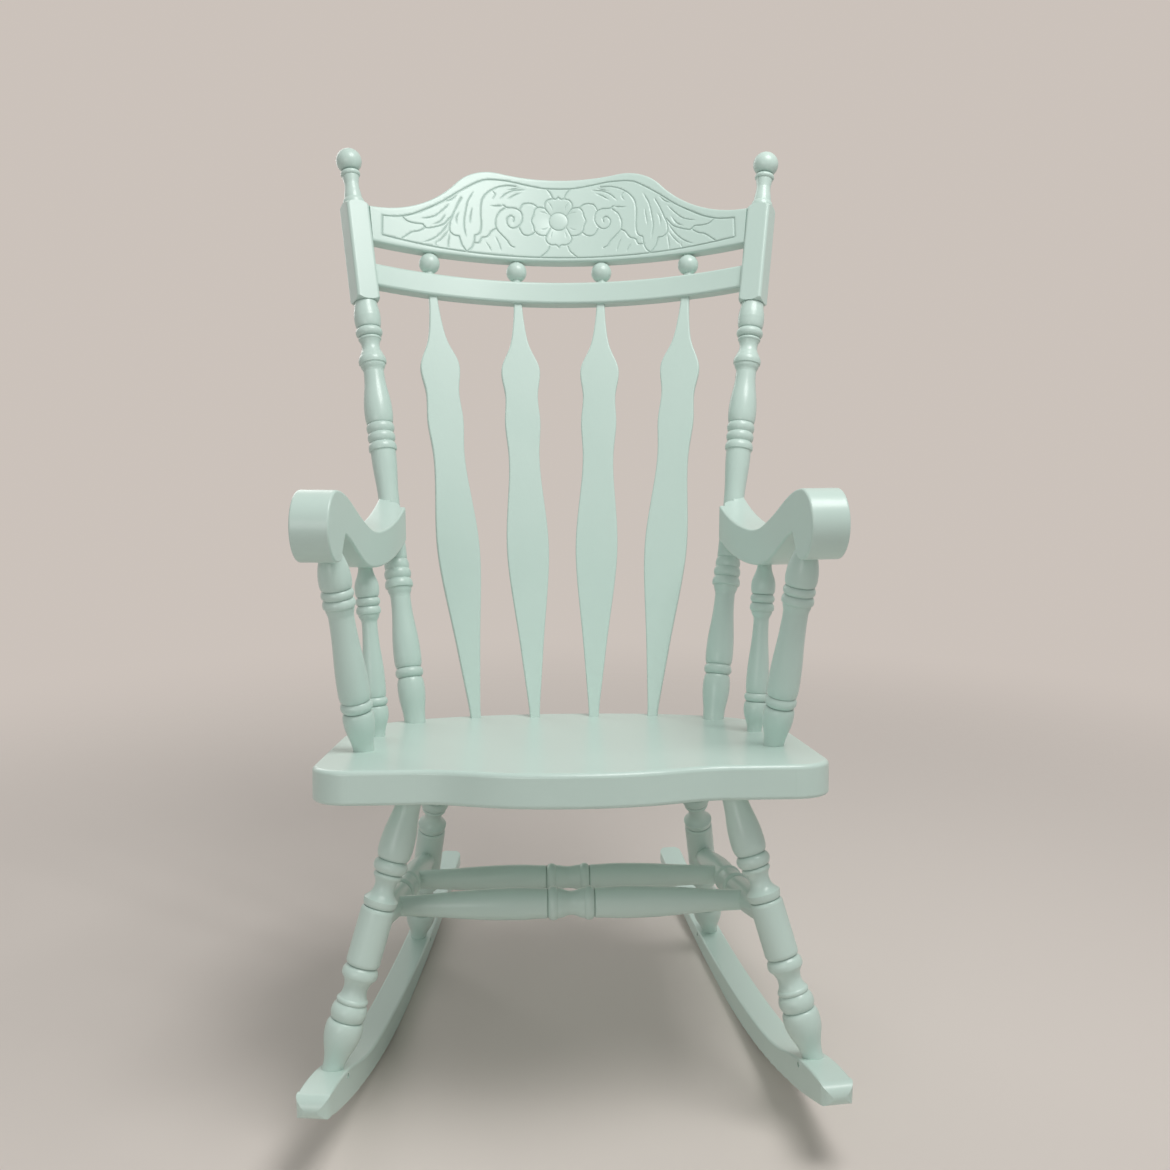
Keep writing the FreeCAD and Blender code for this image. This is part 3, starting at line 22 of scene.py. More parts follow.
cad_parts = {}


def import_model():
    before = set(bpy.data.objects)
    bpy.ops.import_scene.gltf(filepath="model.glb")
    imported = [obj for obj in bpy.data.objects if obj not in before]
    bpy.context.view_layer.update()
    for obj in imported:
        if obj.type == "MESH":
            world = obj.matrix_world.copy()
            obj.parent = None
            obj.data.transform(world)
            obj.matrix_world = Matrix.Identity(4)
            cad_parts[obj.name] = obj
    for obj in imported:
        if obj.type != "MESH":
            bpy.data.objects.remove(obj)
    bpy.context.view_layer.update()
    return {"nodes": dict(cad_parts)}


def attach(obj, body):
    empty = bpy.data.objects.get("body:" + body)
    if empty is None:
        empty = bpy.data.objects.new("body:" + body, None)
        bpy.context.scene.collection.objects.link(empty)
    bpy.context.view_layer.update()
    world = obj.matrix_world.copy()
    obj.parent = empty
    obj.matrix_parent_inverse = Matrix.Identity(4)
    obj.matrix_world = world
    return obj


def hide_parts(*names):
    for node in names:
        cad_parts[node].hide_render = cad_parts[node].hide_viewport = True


LOG = logging.getLogger("rocking_chair")
BODY = "root"
MM = 0.001
# Pixels of the photograph: its side, and how far below its middle the upright lines meet.
IMAGE_SIDE = 1170.0
PLUMB_POINT_BELOW = 7030.0

Colour = tuple[float, float, float]


class Slot(Enum):
    """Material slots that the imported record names."""

    PAINTED_WOOD = "painted_wood"
    PAINTED_PINS = "painted_pins"
    SCREW_STEEL = "screw_steel"


class Grain(Enum):
    """Direction in which a piece's wood runs, as the pattern's stretch along each axis."""

    ACROSS = (0.06, 1.0, 1.0)
    UPRIGHT = (1.0, 1.0, 0.06)
    LENGTHWISE = (1.0, 0.06, 1.0)


def rgba(colour: Colour) -> tuple[float, float, float, float]:
    """The colour with full alpha."""
    return (*colour, 1.0)


class NodeBench:
    """Small helper that adds and links the nodes of one tree."""

    def __init__(self, tree: bpy.types.NodeTree) -> None:
        """Keep the tree that the nodes go into."""
        self.tree = tree

    def add(self, kind: str, **settings: object) -> bpy.types.Node:
        """Add a node and set its properties.

        Args:
            kind: the node's type name.
            settings: property names and values of the node.

        Returns:
            The new node.
        """
        node = self.tree.nodes.new(kind)
        for name, value in settings.items():
            setattr(node, name, value)
        return node

    def link(self, source: bpy.types.NodeSocket, target: bpy.types.NodeSocket) -> None:
        """Link one socket to another."""
        self.tree.links.new(source, target)

    def feed(self, target: bpy.types.NodeSocket, value: object) -> None:
        """Link a socket to the target, or set the target to a plain value."""
        if isinstance(value, bpy.types.NodeSocket):
            self.link(value, target)
        else:
            target.default_value = value

    def maths(self, operation: str, *values: object, clamp: bool = False) -> bpy.types.NodeSocket:
        """Add a Math node.

        Args:
            operation: the node's operation.
            values: sockets or numbers for its inputs.
            clamp: whether the result is kept from 0 to 1.

        Returns:
            The node's result socket.
        """
        node = self.add("ShaderNodeMath", operation=operation, use_clamp=clamp)
        for target, value in zip(node.inputs, values):
            self.feed(target, value)
        return node.outputs[0]

    def mix_colour(
        self, share: object, first: object, second: object, blend: str = "MIX"
    ) -> bpy.types.NodeSocket:
        """Add a colour mix.

        Args:
            share: socket or number, how much of the second colour shows.
            first: socket or colour.
            second: socket or colour.
            blend: the node's blend type.

        Returns:
            The mixed colour's socket.
        """
        node = self.add("ShaderNodeMix", data_type="RGBA", blend_type=blend)
        self.feed(node.inputs[0], share)
        self.feed(node.inputs[6], first)
        self.feed(node.inputs[7], second)
        return node.outputs[2]

    def ramp(
        self, source: bpy.types.NodeSocket, low: float, high: float
    ) -> bpy.types.NodeSocket:
        """Map a value smoothly from low..high to 0..1.

        Args:
            source: the value's socket.
            low: value that gives 0.
            high: value that gives 1.

        Returns:
            The mapped value's socket.
        """
        node = self.add("ShaderNodeMapRange", interpolation_type="SMOOTHSTEP")
        self.link(source, node.inputs["Value"])
        node.inputs["From Min"].default_value = low
        node.inputs["From Max"].default_value = high
        return node.outputs["Result"]

    def noise(
        self, where: bpy.types.NodeSocket, scale: float, detail: float, rough: float = 0.5
    ) -> bpy.types.NodeSocket:
        """Add a noise pattern.

        Args:
            where: socket with the point.
            scale: patterns per metre.
            detail: octaves.
            rough: how strong the finer octaves are.

        Returns:
            The pattern's value, about 0 to 1.
        """
        node = self.add("ShaderNodeTexNoise")
        self.link(where, node.inputs["Vector"])
        node.inputs["Scale"].default_value = scale
        node.inputs["Detail"].default_value = detail
        node.inputs["Roughness"].default_value = rough
        return node.outputs[0]


@dataclass(frozen=True)
class PaintFinish:
    """Smooth semi-gloss paint brushed and sprayed over turned and sawn wood, with painted shade
    darkening its creases.
    """

    name: str
    colour: Colour
    # Painted shade: the darker colour that creases and grooves are pulled towards.
    crease_shade_colour: Colour
    worn_colour: Colour
    roughness: float
    grain: Grain
    mottle_scale: float = 5.0
    grain_scale: float = 260.0
    grain_depth: float = 0.00006
    peel_scale: float = 900.0
    peel_depth: float = 0.00002
    # Reach and strength of the painted shade in creases.
    crease_reach: float = 0.006
    crease_shade_strength: float = 0.8
    worn_share: float = 0.35
    mottle_dulling: float = 0.06
    grain_dulling: float = 0.05
    ior: float = 1.47
    coat: float = 0.15
    coat_roughness: float = 0.15

    def build(self) -> bpy.types.Material:
        """Make the paint's material.

        Returns:
            A material that reads Object coordinates only.
        """
        material = bpy.data.materials.new(self.name)
        material.use_nodes = True
        bench = NodeBench(material.node_tree)
        shader = material.node_tree.nodes["Principled BSDF"]
        place = bench.add("ShaderNodeTexCoord").outputs["Object"]
        stretch = bench.add("ShaderNodeMapping", vector_type="POINT")
        bench.link(place, stretch.inputs["Vector"])
        stretch.inputs["Scale"].default_value = self.grain.value
        along = stretch.outputs[0]
        mottle = bench.ramp(bench.noise(place, self.mottle_scale, 3.0), 0.35, 0.65)
        streak = bench.noise(along, self.grain_scale, 4.0, 0.6)
        # Painted shade: ambient occlusion darkens the paint's colour in creases and grooves towards
        # the darker shade colour.
        crease = bench.add("ShaderNodeAmbientOcclusion", samples=6, only_local=True)
        crease.inputs["Distance"].default_value = self.crease_reach
        depth = bench.ramp(crease.outputs["AO"], 0.95, 0.35)
        worn = bench.maths("MULTIPLY", mottle, self.worn_share)
        painted_crease_shade = bench.maths("MULTIPLY", depth, self.crease_shade_strength)
        tint = bench.mix_colour(worn, rgba(self.colour), rgba(self.worn_colour))
        tint = bench.mix_colour(painted_crease_shade, tint, rgba(self.crease_shade_colour))
        bench.link(tint, shader.inputs["Base Color"])
        dulled = bench.maths("MULTIPLY_ADD", mottle, self.mottle_dulling, self.roughness)
        dulled = bench.maths("MULTIPLY_ADD", streak, self.grain_dulling, dulled)
        bench.link(dulled, shader.inputs["Roughness"])
        shader.inputs["IOR"].default_value = self.ior
        shader.inputs["Coat Weight"].default_value = self.coat
        shader.inputs["Coat Roughness"].default_value = self.coat_roughness
        peel = bench.noise(place, self.peel_scale, 2.0)
        first = bench.add("ShaderNodeBump")
        first.inputs["Distance"].default_value = self.grain_depth
        bench.link(streak, first.inputs["Height"])
        second = bench.add("ShaderNodeBump")
        second.inputs["Distance"].default_value = self.peel_depth
        bench.link(peel, second.inputs["Height"])
        bench.link(first.outputs[0], second.inputs["Normal"])
        bench.link(second.outputs[0], shader.inputs["Normal"])
        return material


@dataclass(frozen=True)
class SteelFinish:
    """Zinc plated screw steel with fine turning marks."""

    name: str
    colour: Colour
    roughness: float
    mark_scale: float = 1400.0
    mark_depth: float = 0.00001
    mark_shade: float = 0.7
    mark_dulling: float = 0.2

    def build(self) -> bpy.types.Material:
        """Make the steel's material.

        Returns:
            A metal material with marks in its roughness and bump.
        """
        material = bpy.data.materials.new(self.name)
        material.use_nodes = True
        bench = NodeBench(material.node_tree)
        shader = material.node_tree.nodes["Principled BSDF"]
        place = bench.add("ShaderNodeTexCoord").outputs["Object"]
        marks = bench.noise(place, self.mark_scale, 3.0)
        shader.inputs["Metallic"].default_value = 1.0
        shaded = tuple(self.mark_shade * channel for channel in self.colour)
        tone = bench.mix_colour(marks, rgba(self.colour), rgba(shaded))
        bench.link(tone, shader.inputs["Base Color"])
        dulled = bench.maths("MULTIPLY_ADD", marks, self.mark_dulling, self.roughness)
        bench.link(dulled, shader.inputs["Roughness"])
        bump = bench.add("ShaderNodeBump")
        bump.inputs["Distance"].default_value = self.mark_depth
        bench.link(marks, bump.inputs["Height"])
        bench.link(bump.outputs[0], shader.inputs["Normal"])
        return material


@dataclass(frozen=True)
class FloorFinish:
    """Plain pale floor that fades into the background away from the chair."""

    name: str
    colour: Colour
    near: float
    far: float

    def build(self) -> bpy.types.Material:
        """Make the floor's material.

        Returns:
            A diffuse material that turns clear between its near and far distance.
        """
        material = bpy.data.materials.new(self.name)
        material.use_nodes = True
        tree = material.node_tree
        bench = NodeBench(tree)
        tree.nodes.remove(tree.nodes["Principled BSDF"])
        out = tree.nodes["Material Output"]
        place = bench.add("ShaderNodeTexCoord").outputs["Object"]
        reach = bench.add("ShaderNodeVectorMath", operation="LENGTH")
        bench.link(place, reach.inputs[0])
        fade = bench.ramp(reach.outputs["Value"], self.near, self.far)
        matt = bench.add("ShaderNodeBsdfDiffuse")
        matt.inputs["Color"].default_value = rgba(self.colour)
        clear = bench.add("ShaderNodeBsdfTransparent")
        blend = bench.add("ShaderNodeMixShader")
        bench.link(fade, blend.inputs[0])
        bench.link(matt.outputs[0], blend.inputs[1])
        bench.link(clear.outputs[0], blend.inputs[2])
        bench.link(blend.outputs[0], out.inputs["Surface"])
        return material


PAINT: Colour = (0.560, 0.705, 0.645)
# Painted shade colour for the creases, not a second paint.
PAINT_CREASE_SHADE: Colour = (0.250, 0.360, 0.315)
PAINT_WORN: Colour = (0.600, 0.735, 0.675)
PAINT_ROUGHNESS = 0.26


def paint(name: str, grain: Grain) -> PaintFinish:
    """The chair's mint paint over wood that runs one way."""
    return PaintFinish(name, PAINT, PAINT_CREASE_SHADE, PAINT_WORN, PAINT_ROUGHNESS, grain)


FINISHES = {
    "paint_upright": paint("mint_paint_upright", Grain.UPRIGHT),
    "paint_across": paint("mint_paint_across", Grain.ACROSS),
    "paint_lengthwise": paint("mint_paint_lengthwise", Grain.LENGTHWISE),
    "steel": SteelFinish("screw_steel", (0.56, 0.57, 0.58), 0.32),
}


@dataclass
class Workshop:
    """Frame, and the finishes made so far."""

    nodes: dict[str, bpy.types.Object]
    made: dict[str, bpy.types.Material] = field(default_factory=dict)

    def finish(self, name: str) -> bpy.types.Material:
        """Material of a named finish, made once."""
        if name not in self.made:
            self.made[name] = FINISHES[name].build()
        return self.made[name]

    def dress(self, names: Iterable[str], finish: str, slot: Slot) -> None:
        """Give CAD nodes a finish.

        Args:
            names: the nodes.
            finish: name of the finish.
            slot: the record's slot for these nodes; not used.
        """
        for name in names:
            node = self.nodes[name]
            node.data.materials.clear()
            node.data.materials.append(self.finish(finish))
            LOG.info("dressed %s with %s", name, finish)

    def place(self, piece: bpy.types.Object, slot: Slot, *replaced: str) -> None:
        """Let a new piece ride on the chair in place of CAD nodes.

        Args:
            piece: the new piece.
            slot: the record's slot for its finish; not used.
            replaced: names of the nodes that it stands for.
        """
        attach(piece, BODY)
        if replaced:
            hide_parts(*replaced)
        LOG.info("made %s with %d vertices", piece.name, len(piece.data.vertices))


def sides(*names: str) -> list[str]:
    """Both nodes of each pair."""
    return [f"{name}_{side}" for name in names for side in ("left", "right")]


@dataclass
class Undercarriage:
    """Rockers, legs and stretchers with their pins."""

    upright: tuple[str, ...] = ("front_leg", "rear_leg")
    lengthwise: tuple[str, ...] = ("rocker", "side_stretcher")
    across: tuple[str, ...] = ("front_cross_stretcher", "rear_cross_stretcher")
    pins: tuple[str, ...] = ("front_rocker_pin", "rear_rocker_pin")

    def dress(self, shop: Workshop) -> None:
        """Paint every piece."""
        shop.dress(sides(*self.upright), "paint_upright", Slot.PAINTED_WOOD)
        shop.dress(sides(*self.lengthwise), "paint_lengthwise", Slot.PAINTED_WOOD)
        shop.dress(self.across, "paint_across", Slot.PAINTED_WOOD)
        shop.dress(sides(*self.pins), "paint_across", Slot.PAINTED_PINS)


@dataclass
class Seat:
    """Solid plank seat."""

    plank: str = "seat"

    def dress(self, shop: Workshop) -> None:
        """Paint the plank, whose boards run across."""
        shop.dress([self.plank], "paint_across", Slot.PAINTED_WOOD)


@dataclass
class Arms:
    """Scrolled arms on turned posts, with the screws that hold them."""

    boards: tuple[str, ...] = ("arm",)
    posts: tuple[str, ...] = ("front_arm_post", "middle_arm_post")
    plugs: tuple[str, ...] = ("arm_screw_plug",)
    screws: tuple[str, ...] = ("arm_screw",)

    def dress(self, shop: Workshop) -> None:
        """Paint the wood and leave the screws bare."""
        shop.dress(sides(*self.boards), "paint_lengthwise", Slot.PAINTED_WOOD)
        shop.dress(sides(*self.posts), "paint_upright", Slot.PAINTED_WOOD)
        shop.dress(sides(*self.plugs), "paint_upright", Slot.PAINTED_PINS)
        shop.dress(sides(*self.screws), "steel", Slot.SCREW_STEEL)


@dataclass
class Back:
    """Turned posts, slats, balls and the lower rail."""

    upright: tuple[str, ...] = (
        "back_post",
        "arrow_slat_inner",
        "arrow_slat_outer",
        "ball_spindle_inner",
        "ball_spindle_outer",
    )
    rails: tuple[str, ...] = ("lower_rail", "crest_rail")
    pins: tuple[str, ...] = ("lower_rail_pin", "crest_rail_pin")

    def dress(self, shop: Workshop) -> None:
        """Paint every piece."""
        shop.dress(sides(*self.upright), "paint_upright", Slot.PAINTED_WOOD)
        shop.dress(self.rails, "paint_across", Slot.PAINTED_WOOD)
        shop.dress(sides(*self.pins), "paint_upright", Slot.PAINTED_PINS)


Point = tuple[float, float]


@dataclass(frozen=True)
class Stroke:
    """One cut of a V tool along a smooth line on the board's right half.

    Points are millimetres across from the board's middle and up from its lower edge.
    """

    points: tuple[Point, ...]
    width: float = 2.3
    depth: float = 1.35
    taper: float = 0.0
    closed: bool = False
    straight: bool = False
    step: float = 1.0

    def path(self) -> np.ndarray:
        """Sample the line evenly.

        Returns:
            Points along it, one row each.
        """
        knots = np.array(self.points, float)
        if self.closed:
            knots = np.vstack([knots, knots[:1]])
        dense = knots if self.straight else self.smooth(knots)
        runs = np.linalg.norm(np.diff(dense, axis=0), axis=1)
        reach = np.concatenate([[0.0], np.cumsum(runs)])
        count = max(2, int(round(reach[-1] / self.step)) + 1)
        marks = np.linspace(0.0, reach[-1], count)
        return np.column_stack([np.interp(marks, reach, dense[:, axis]) for axis in (0, 1)])

    def smooth(self, knots: np.ndarray) -> np.ndarray:
        """Round the line through its knots.

        Args:
            knots: the points that it goes through.

        Returns:
            A finer line through the same points.
        """
        if self.closed:
            ahead, behind = knots[1:2], knots[-2:-1]
        else:
            ahead, behind = 2 * knots[-1:] - knots[-2:-1], 2 * knots[:1] - knots[1:2]
        ring = np.vstack([behind, knots, ahead])
        pieces = []
        for a, b, c, d in zip(ring, ring[1:], ring[2:], ring[3:]):
            share = np.linspace(0.0, 1.0, 12, endpoint=False)[:, None]
            pieces.append(
                0.5
                * (
                    2 * b
                    + (c - a) * share
                    + (2 * a - 5 * b + 4 * c - d) * share**2
                    + (3 * b - a - 3 * c + d) * share**3
                )
            )
        return np.vstack([*pieces, knots[-1:]])

    def cut(self, path: np.ndarray, places: np.ndarray) -> np.ndarray:
        """Depth that the cut has at some places.

        Args:
            path: the sampled line.
            places: points on the board.

        Returns:
            Depth at each place.
        """
        half = 0.5 * self.width
        depths = np.zeros(len(places))
        low, high = path.min(axis=0) - half, path.max(axis=0) + half
        near = np.flatnonzero(np.all((places > low) & (places < high), axis=1))
        if not len(near):
            return depths
        starts, runs = path[:-1], np.diff(path, axis=0)
        lengths = np.linalg.norm(runs, axis=1)
        reach = np.concatenate([[0.0], np.cumsum(lengths)])
        offset = places[near][:, None, :] - starts[None]
        share = np.clip((offset * runs).sum(axis=2) / (lengths**2 + 1e-12), 0.0, 1.0)
        gap = np.linalg.norm(offset - share[..., None] * runs[None], axis=2)
        best = gap.argmin(axis=1)
        rows = np.arange(len(near))
        away = gap[rows, best]
        mark = reach[best] + share[rows, best] * lengths[best]
        full = np.full(len(near), self.depth)
        if self.taper:
            ends = np.minimum(mark, reach[-1] - mark)
            full *= np.clip(0.15 + ends / self.taper, 0.0, 1.0)
        depths[near] = full * 0.5 * (1.0 + np.cos(math.pi * np.clip(away / half, 0.0, 1.0)))
        return depths


FOLD = dict(width=1.9, depth=0.9, taper=5.0)
VEIN = dict(width=2.1, depth=1.2, taper=9.0)
EDGE = dict(width=2.6, depth=1.6)
FLOWER_MIDDLE = (0.0, 66.0)
BUTTON_RADIUS = 14.5
BUTTON_RISE = 1.1
PETAL_REACH = 42.0
FLOWER_DEPTH = 1.5
SUNK_SHARE = 0.6
RING_POINTS = 93
FLANK_SHARES = (0.25, 0.5, -0.25, -0.5)
ROUNDING_SHARES = (0.08, 0.3, 0.6, 1.0)
CUT_CELL = 0.4
GROUND_CELL = 0.45

BORDER = (
    Stroke(
        (
            (0, 119), (24, 120), (49, 124), (79, 129), (107, 129), (123, 124), (151, 105),
            (179, 82), (203, 66), (223, 54), (241, 47), (263, 43),
        ),
        **EDGE,
    ),
    Stroke(((263, 43), (263, 12.5)), straight=True, **EDGE),
    Stroke(((263, 12.5), (233, 11), (196, 9), (152, 7.5), (100, 6.5), (48, 6), (0, 6)), **EDGE),
)
FLOWER = (
    Stroke(((21, 87), (21, 95), (16, 101), (9, 103), (4, 102.5), (0, 106))),
    Stroke(
        ((21, 87), (31, 88), (37, 83), (39, 75), (42, 66), (39, 57), (37, 49), (30, 43), (19, 42))
    ),
    Stroke(((19, 42), (20, 36), (17, 30), (11, 27), (4, 27), (0, 23))),
    Stroke(((12, 75), (21, 87)), depth=1.6),
    Stroke(((12, 56), (19, 42)), depth=1.6),
    Stroke(((16, 97), (11, 90), (9, 82)), **FOLD),
    Stroke(((15, 76), (21, 79.5), (29, 80.5)), **FOLD),
    Stroke(((15, 57), (21, 53), (28, 52)), **FOLD),
    Stroke(((8, 51), (11, 45), (12, 38)), **FOLD),
    Stroke(((14, 25), (18, 16), (29, 6))),
    Stroke(((18, 118.5), (12, 111), (9, 104))),
)
SCROLLS = (
    Stroke(((32, 88), (39, 93), (47, 94.5), (55, 92), (60, 84))),
    Stroke(((37, 47), (42, 43), (49, 41), (56, 44), (61, 53))),
    Stroke(
        (
            (70, 63), (69, 69), (74, 72), (80, 66), (78, 56), (70, 52), (61, 57), (56, 68),
            (59, 80), (68, 85), (79, 85), (86, 89),
        )
    ),
    Stroke(((86, 87.5), (105, 86)), taper=6.0),
    Stroke(((83, 84), (92, 76), (97, 63), (96, 50), (88, 40), (80, 32), (75, 24), (69, 21))),
)
LONG_LEAF = (
    Stroke(
        (
            (66, 121), (79, 121.5), (92, 118.5), (104, 112), (114, 102), (119, 90), (120, 71),
            (119, 56), (120, 44), (123, 38), (129, 35),
        )
    ),
    Stroke(((129, 35), (130, 24), (134, 14), (140, 8))),
    Stroke(((141, 8), (148, 18), (152, 31))),
    Stroke(((152, 31), (160, 32), (166, 38), (166, 51), (162, 63), (156, 79), (149, 94))),
    Stroke(((131, 106), (139, 90), (143, 71), (145, 51), (142, 31)), **VEIN),
    Stroke(((133, 80), (135, 66), (136, 54)), **VEIN),
    Stroke(((152, 70), (156, 61), (156, 50)), **VEIN),
    Stroke(((52, 116), (68, 114.5), (81, 108), (91, 98)), **VEIN),
    Stroke(((60, 119), (79, 114)), **VEIN),
    Stroke(((58, 111), (69, 106), (79, 99)), **VEIN),
    Stroke(((103, 112), (98, 105), (102, 97)), **FOLD),
    Stroke(((96, 50), (103, 45), (109, 36), (118, 32), (122, 24), (129, 23))),
    Stroke(((89, 14), (92, 25), (97, 36)), **FOLD),
    Stroke(((104, 12), (107, 19), (112, 26)), **FOLD),
)
LEAF_FAN = (
    Stroke(((155, 98), (164, 89), (174, 84)), **VEIN),
    Stroke(((167, 81), (179, 67), (190, 57), (208, 50)), **VEIN),
    Stroke(((172, 63), (180, 51), (190, 44)), **VEIN),
    Stroke(((165, 60), (175, 47), (189, 40), (200, 37), (206, 42))),
    Stroke(((168, 50), (177, 35), (189, 22), (204, 13)), **VEIN),
    Stroke(((168, 38), (176, 26), (185, 15)), **VEIN),
    Stroke(((166, 33), (168, 20), (168, 9)), **VEIN),
    Stroke(((185, 19), (187, 9)), **FOLD),
    Stroke(((190, 74), (199, 68), (216, 57), (236, 49)), taper=8.0),
    Stroke(((236, 49), (229, 43), (219, 41), (206, 42))),
    Stroke(((206, 42), (203, 37), (211, 30), (221, 26), (235, 13))),
)


def cells_of(points: Iterable[np.ndarray], size: float) -> list[tuple[int, int]]:
    """Cell of a square grid that each point falls in."""
    return [(round(x / size), round(h / size)) for x, h in points]


@dataclass
class CrestRail:
    """Bent crest board with a serpentine top and a carved front, between the post blocks.

    Sizes are millimetres. The board is drawn flat, as place across, depth from its front and
    height, and a Geometry Nodes tree bends it round the rails' arc and leans it to the rake.
    """

    rake: float = math.radians(18.5)
    base_y: float = 61.4186
    base_z: float = 370.7843
    low_edge: float = 706.0
    arc_radius: float = 600.0
    arc_back: float = 524.787
    thick: float = 22.0
    half_length: float = 300.0
    hump_x: float = 104.0
    hump_height: float = 143.0
    hump_radius: float = 70.0
    centre_height: float = 134.5
    level_x: float = 292.0
    end_height: float = 54.5
    edge_round: float = 3.0
    post_foot: tuple[float, float, float] = (207.5, 61.4186, 370.7843)
    block_normal: tuple[float, float, float] = (0.866007, -0.497497, 0.050287)
    block_half: float = 17.5
    grid: float = 2.6
    back_grid: float = 12.0
    rim_step: float = 2.0
    slope_step: float = 0.05
    groups: tuple[tuple[Stroke, ...], ...] = (BORDER, FLOWER, SCROLLS, LONG_LEAF, LEAF_FAN)

    def top(self, x: np.ndarray) -> np.ndarray:
        """Height of the serpentine top edge.

        Args:
            x: places across.

        Returns:
            Height at each place.
        """
        x = np.abs(x)
        rise = self.hump_height - self.centre_height
        drop = self.hump_height - self.end_height
        run = self.level_x - self.hump_x
        dip = (self.hump_x**2 + rise**2) / (2 * rise) - self.hump_radius
        slope = (run**2 + drop**2) / (2 * drop) - self.hump_radius
        first = self.hump_x * dip / (dip + self.hump_radius)
        last = self.level_x - run * slope / (slope + self.hump_radius)
        inner = self.centre_height + dip - np.sqrt(np.maximum(dip**2 - x**2, 0.0))
        hump = np.sqrt(np.maximum(self.hump_radius**2 - (x - self.hump_x) ** 2, 0.0))
        hump += self.hump_height - self.hump_radius
        outer = np.sqrt(np.maximum(slope**2 - (self.level_x - x) ** 2, 0.0))
        outer = self.end_height + slope - outer
        heights = np.where(x < first, inner, np.where(x < last, hump, outer))
        return np.where(x > self.level_x, self.end_height, heights)

    def outline(self, inset: float) -> np.ndarray:
        """Points just inside the top and bottom edges.

        Args:
            inset: how far inside.

        Returns:
            The bottom row from left to right, then the top row from right to left.
        """
        count = int(round(2 * self.half_length / self.rim_step)) + 1
        x = np.linspace(-self.half_length, self.half_length, count)
        lean = np.gradient(self.top(x), x)
        scale = inset / np.sqrt(1 + lean**2)
        above = np.column_stack([x + lean * scale, self.top(x) - scale])
        above[:, 0] = np.clip(above[:, 0], -self.half_length, self.half_length)
        below = np.column_stack([x, np.full(count, inset)])
        return np.vstack([below, above[::-1]])

    def rounding(self, places: np.ndarray) -> np.ndarray:
        """How far the rounded edge falls back from the face.

        Args:
            places: points on the board.

        Returns:
            Depth of the rounding at each place, nothing away from the edges.
        """
        across, step = places[:, 0], self.slope_step
        lean = (self.top(across + step) - self.top(across - step)) / (2 * step)
        above = (self.top(across) - places[:, 1]) / np.sqrt(1 + lean**2)
        inset = np.clip(np.minimum(above, places[:, 1]), 0.0, self.edge_round)
        return self.edge_round - np.sqrt(self.edge_round**2 - (self.edge_round - inset) ** 2)

    def strokes(self) -> list[tuple[Stroke, np.ndarray]]:
        """Lay out every cut on both halves of the board.

        Returns:
            Each stroke with its sampled path, the ring round the button last.
        """
        paths = []
        for stroke in (stroke for group in self.groups for stroke in group):
            path = stroke.path()
            paths += [(stroke, path), (stroke, path * (-1.0, 1.0))]
        turns = np.linspace(0.0, math.tau, RING_POINTS)
        ring = np.column_stack([np.cos(turns), np.sin(turns)]) * BUTTON_RADIUS + FLOWER_MIDDLE
        return [*paths, (Stroke((FLOWER_MIDDLE,), depth=FLOWER_DEPTH), ring)]

    def dish(self, places: np.ndarray) -> np.ndarray:
        """Depth of the flower, whose petals sink towards a domed button.

        Args:
            places: points on the board.

        Returns:
            Depth at each place, nothing outside the petals.
        """
        away = np.linalg.norm(places - FLOWER_MIDDLE, axis=1)
        share = np.clip((away - BUTTON_RADIUS) / (PETAL_REACH - BUTTON_RADIUS), 0.0, 1.0)
        petals = FLOWER_DEPTH * (1.0 - share) ** 2
        dome = np.sqrt(np.clip(1.0 - (away / BUTTON_RADIUS) ** 2, 0.0, 1.0))
        return np.where(away < BUTTON_RADIUS, FLOWER_DEPTH - BUTTON_RISE * dome, petals)

    def sheet(
        self, extra: Sequence[np.ndarray], edges: Sequence[tuple[int, int]], grid: float
    ) -> tuple[np.ndarray, np.ndarray, int]:
        """Triangulate the flat board.

        Args:
            extra: further rows of points inside it.
            edges: pairs of points that stay joined, counted after the outline.
            grid: spacing of the plain ground's points.

        Returns:
            The points, the triangles, and how many points the outline has.
        """
        rim = self.outline(0.0)
        count = len(rim)
        joined = [(i, (i + 1) % count) for i in range(count)]
        joined += [(a + count, b + count) for a, b in edges]
        rows = [self.outline(self.edge_round * share) for share in ROUNDING_SHARES]
        across = np.arange(-self.half_length + grid, self.half_length, grid)
        up = np.arange(grid, self.hump_height, grid)
        ground = np.array([(x + 0.5 * grid * (k % 2), h) for k, h in enumerate(up) for x in across])
        margin = self.edge_round + 0.5 * grid
        ground = ground[(ground[:, 1] > margin) & (ground[:, 1] < self.top(ground[:, 0]) - margin)]
        kept = list(np.vstack([rim, *extra]))
        taken = set(cells_of(kept, GROUND_CELL))
        for row in (*rows, ground):
            for point, cell in zip(row, cells_of(row, GROUND_CELL)):
                if cell not in taken and abs(point[0]) < self.half_length - 0.5:
                    taken.add(cell)
                    kept.append(point)
        points, _, faces, *_ = delaunay_2d_cdt([Vector(p) for p in kept], joined, [], 0, 1e-4)
        flat = np.array([tuple(p) for p in points])
        corners = np.array(faces)
        middle = flat[corners].mean(axis=1)
        inside = (middle[:, 1] > 1e-6) & (middle[:, 1] < self.top(middle[:, 0]) - 1e-3)
        return flat, corners[inside], count

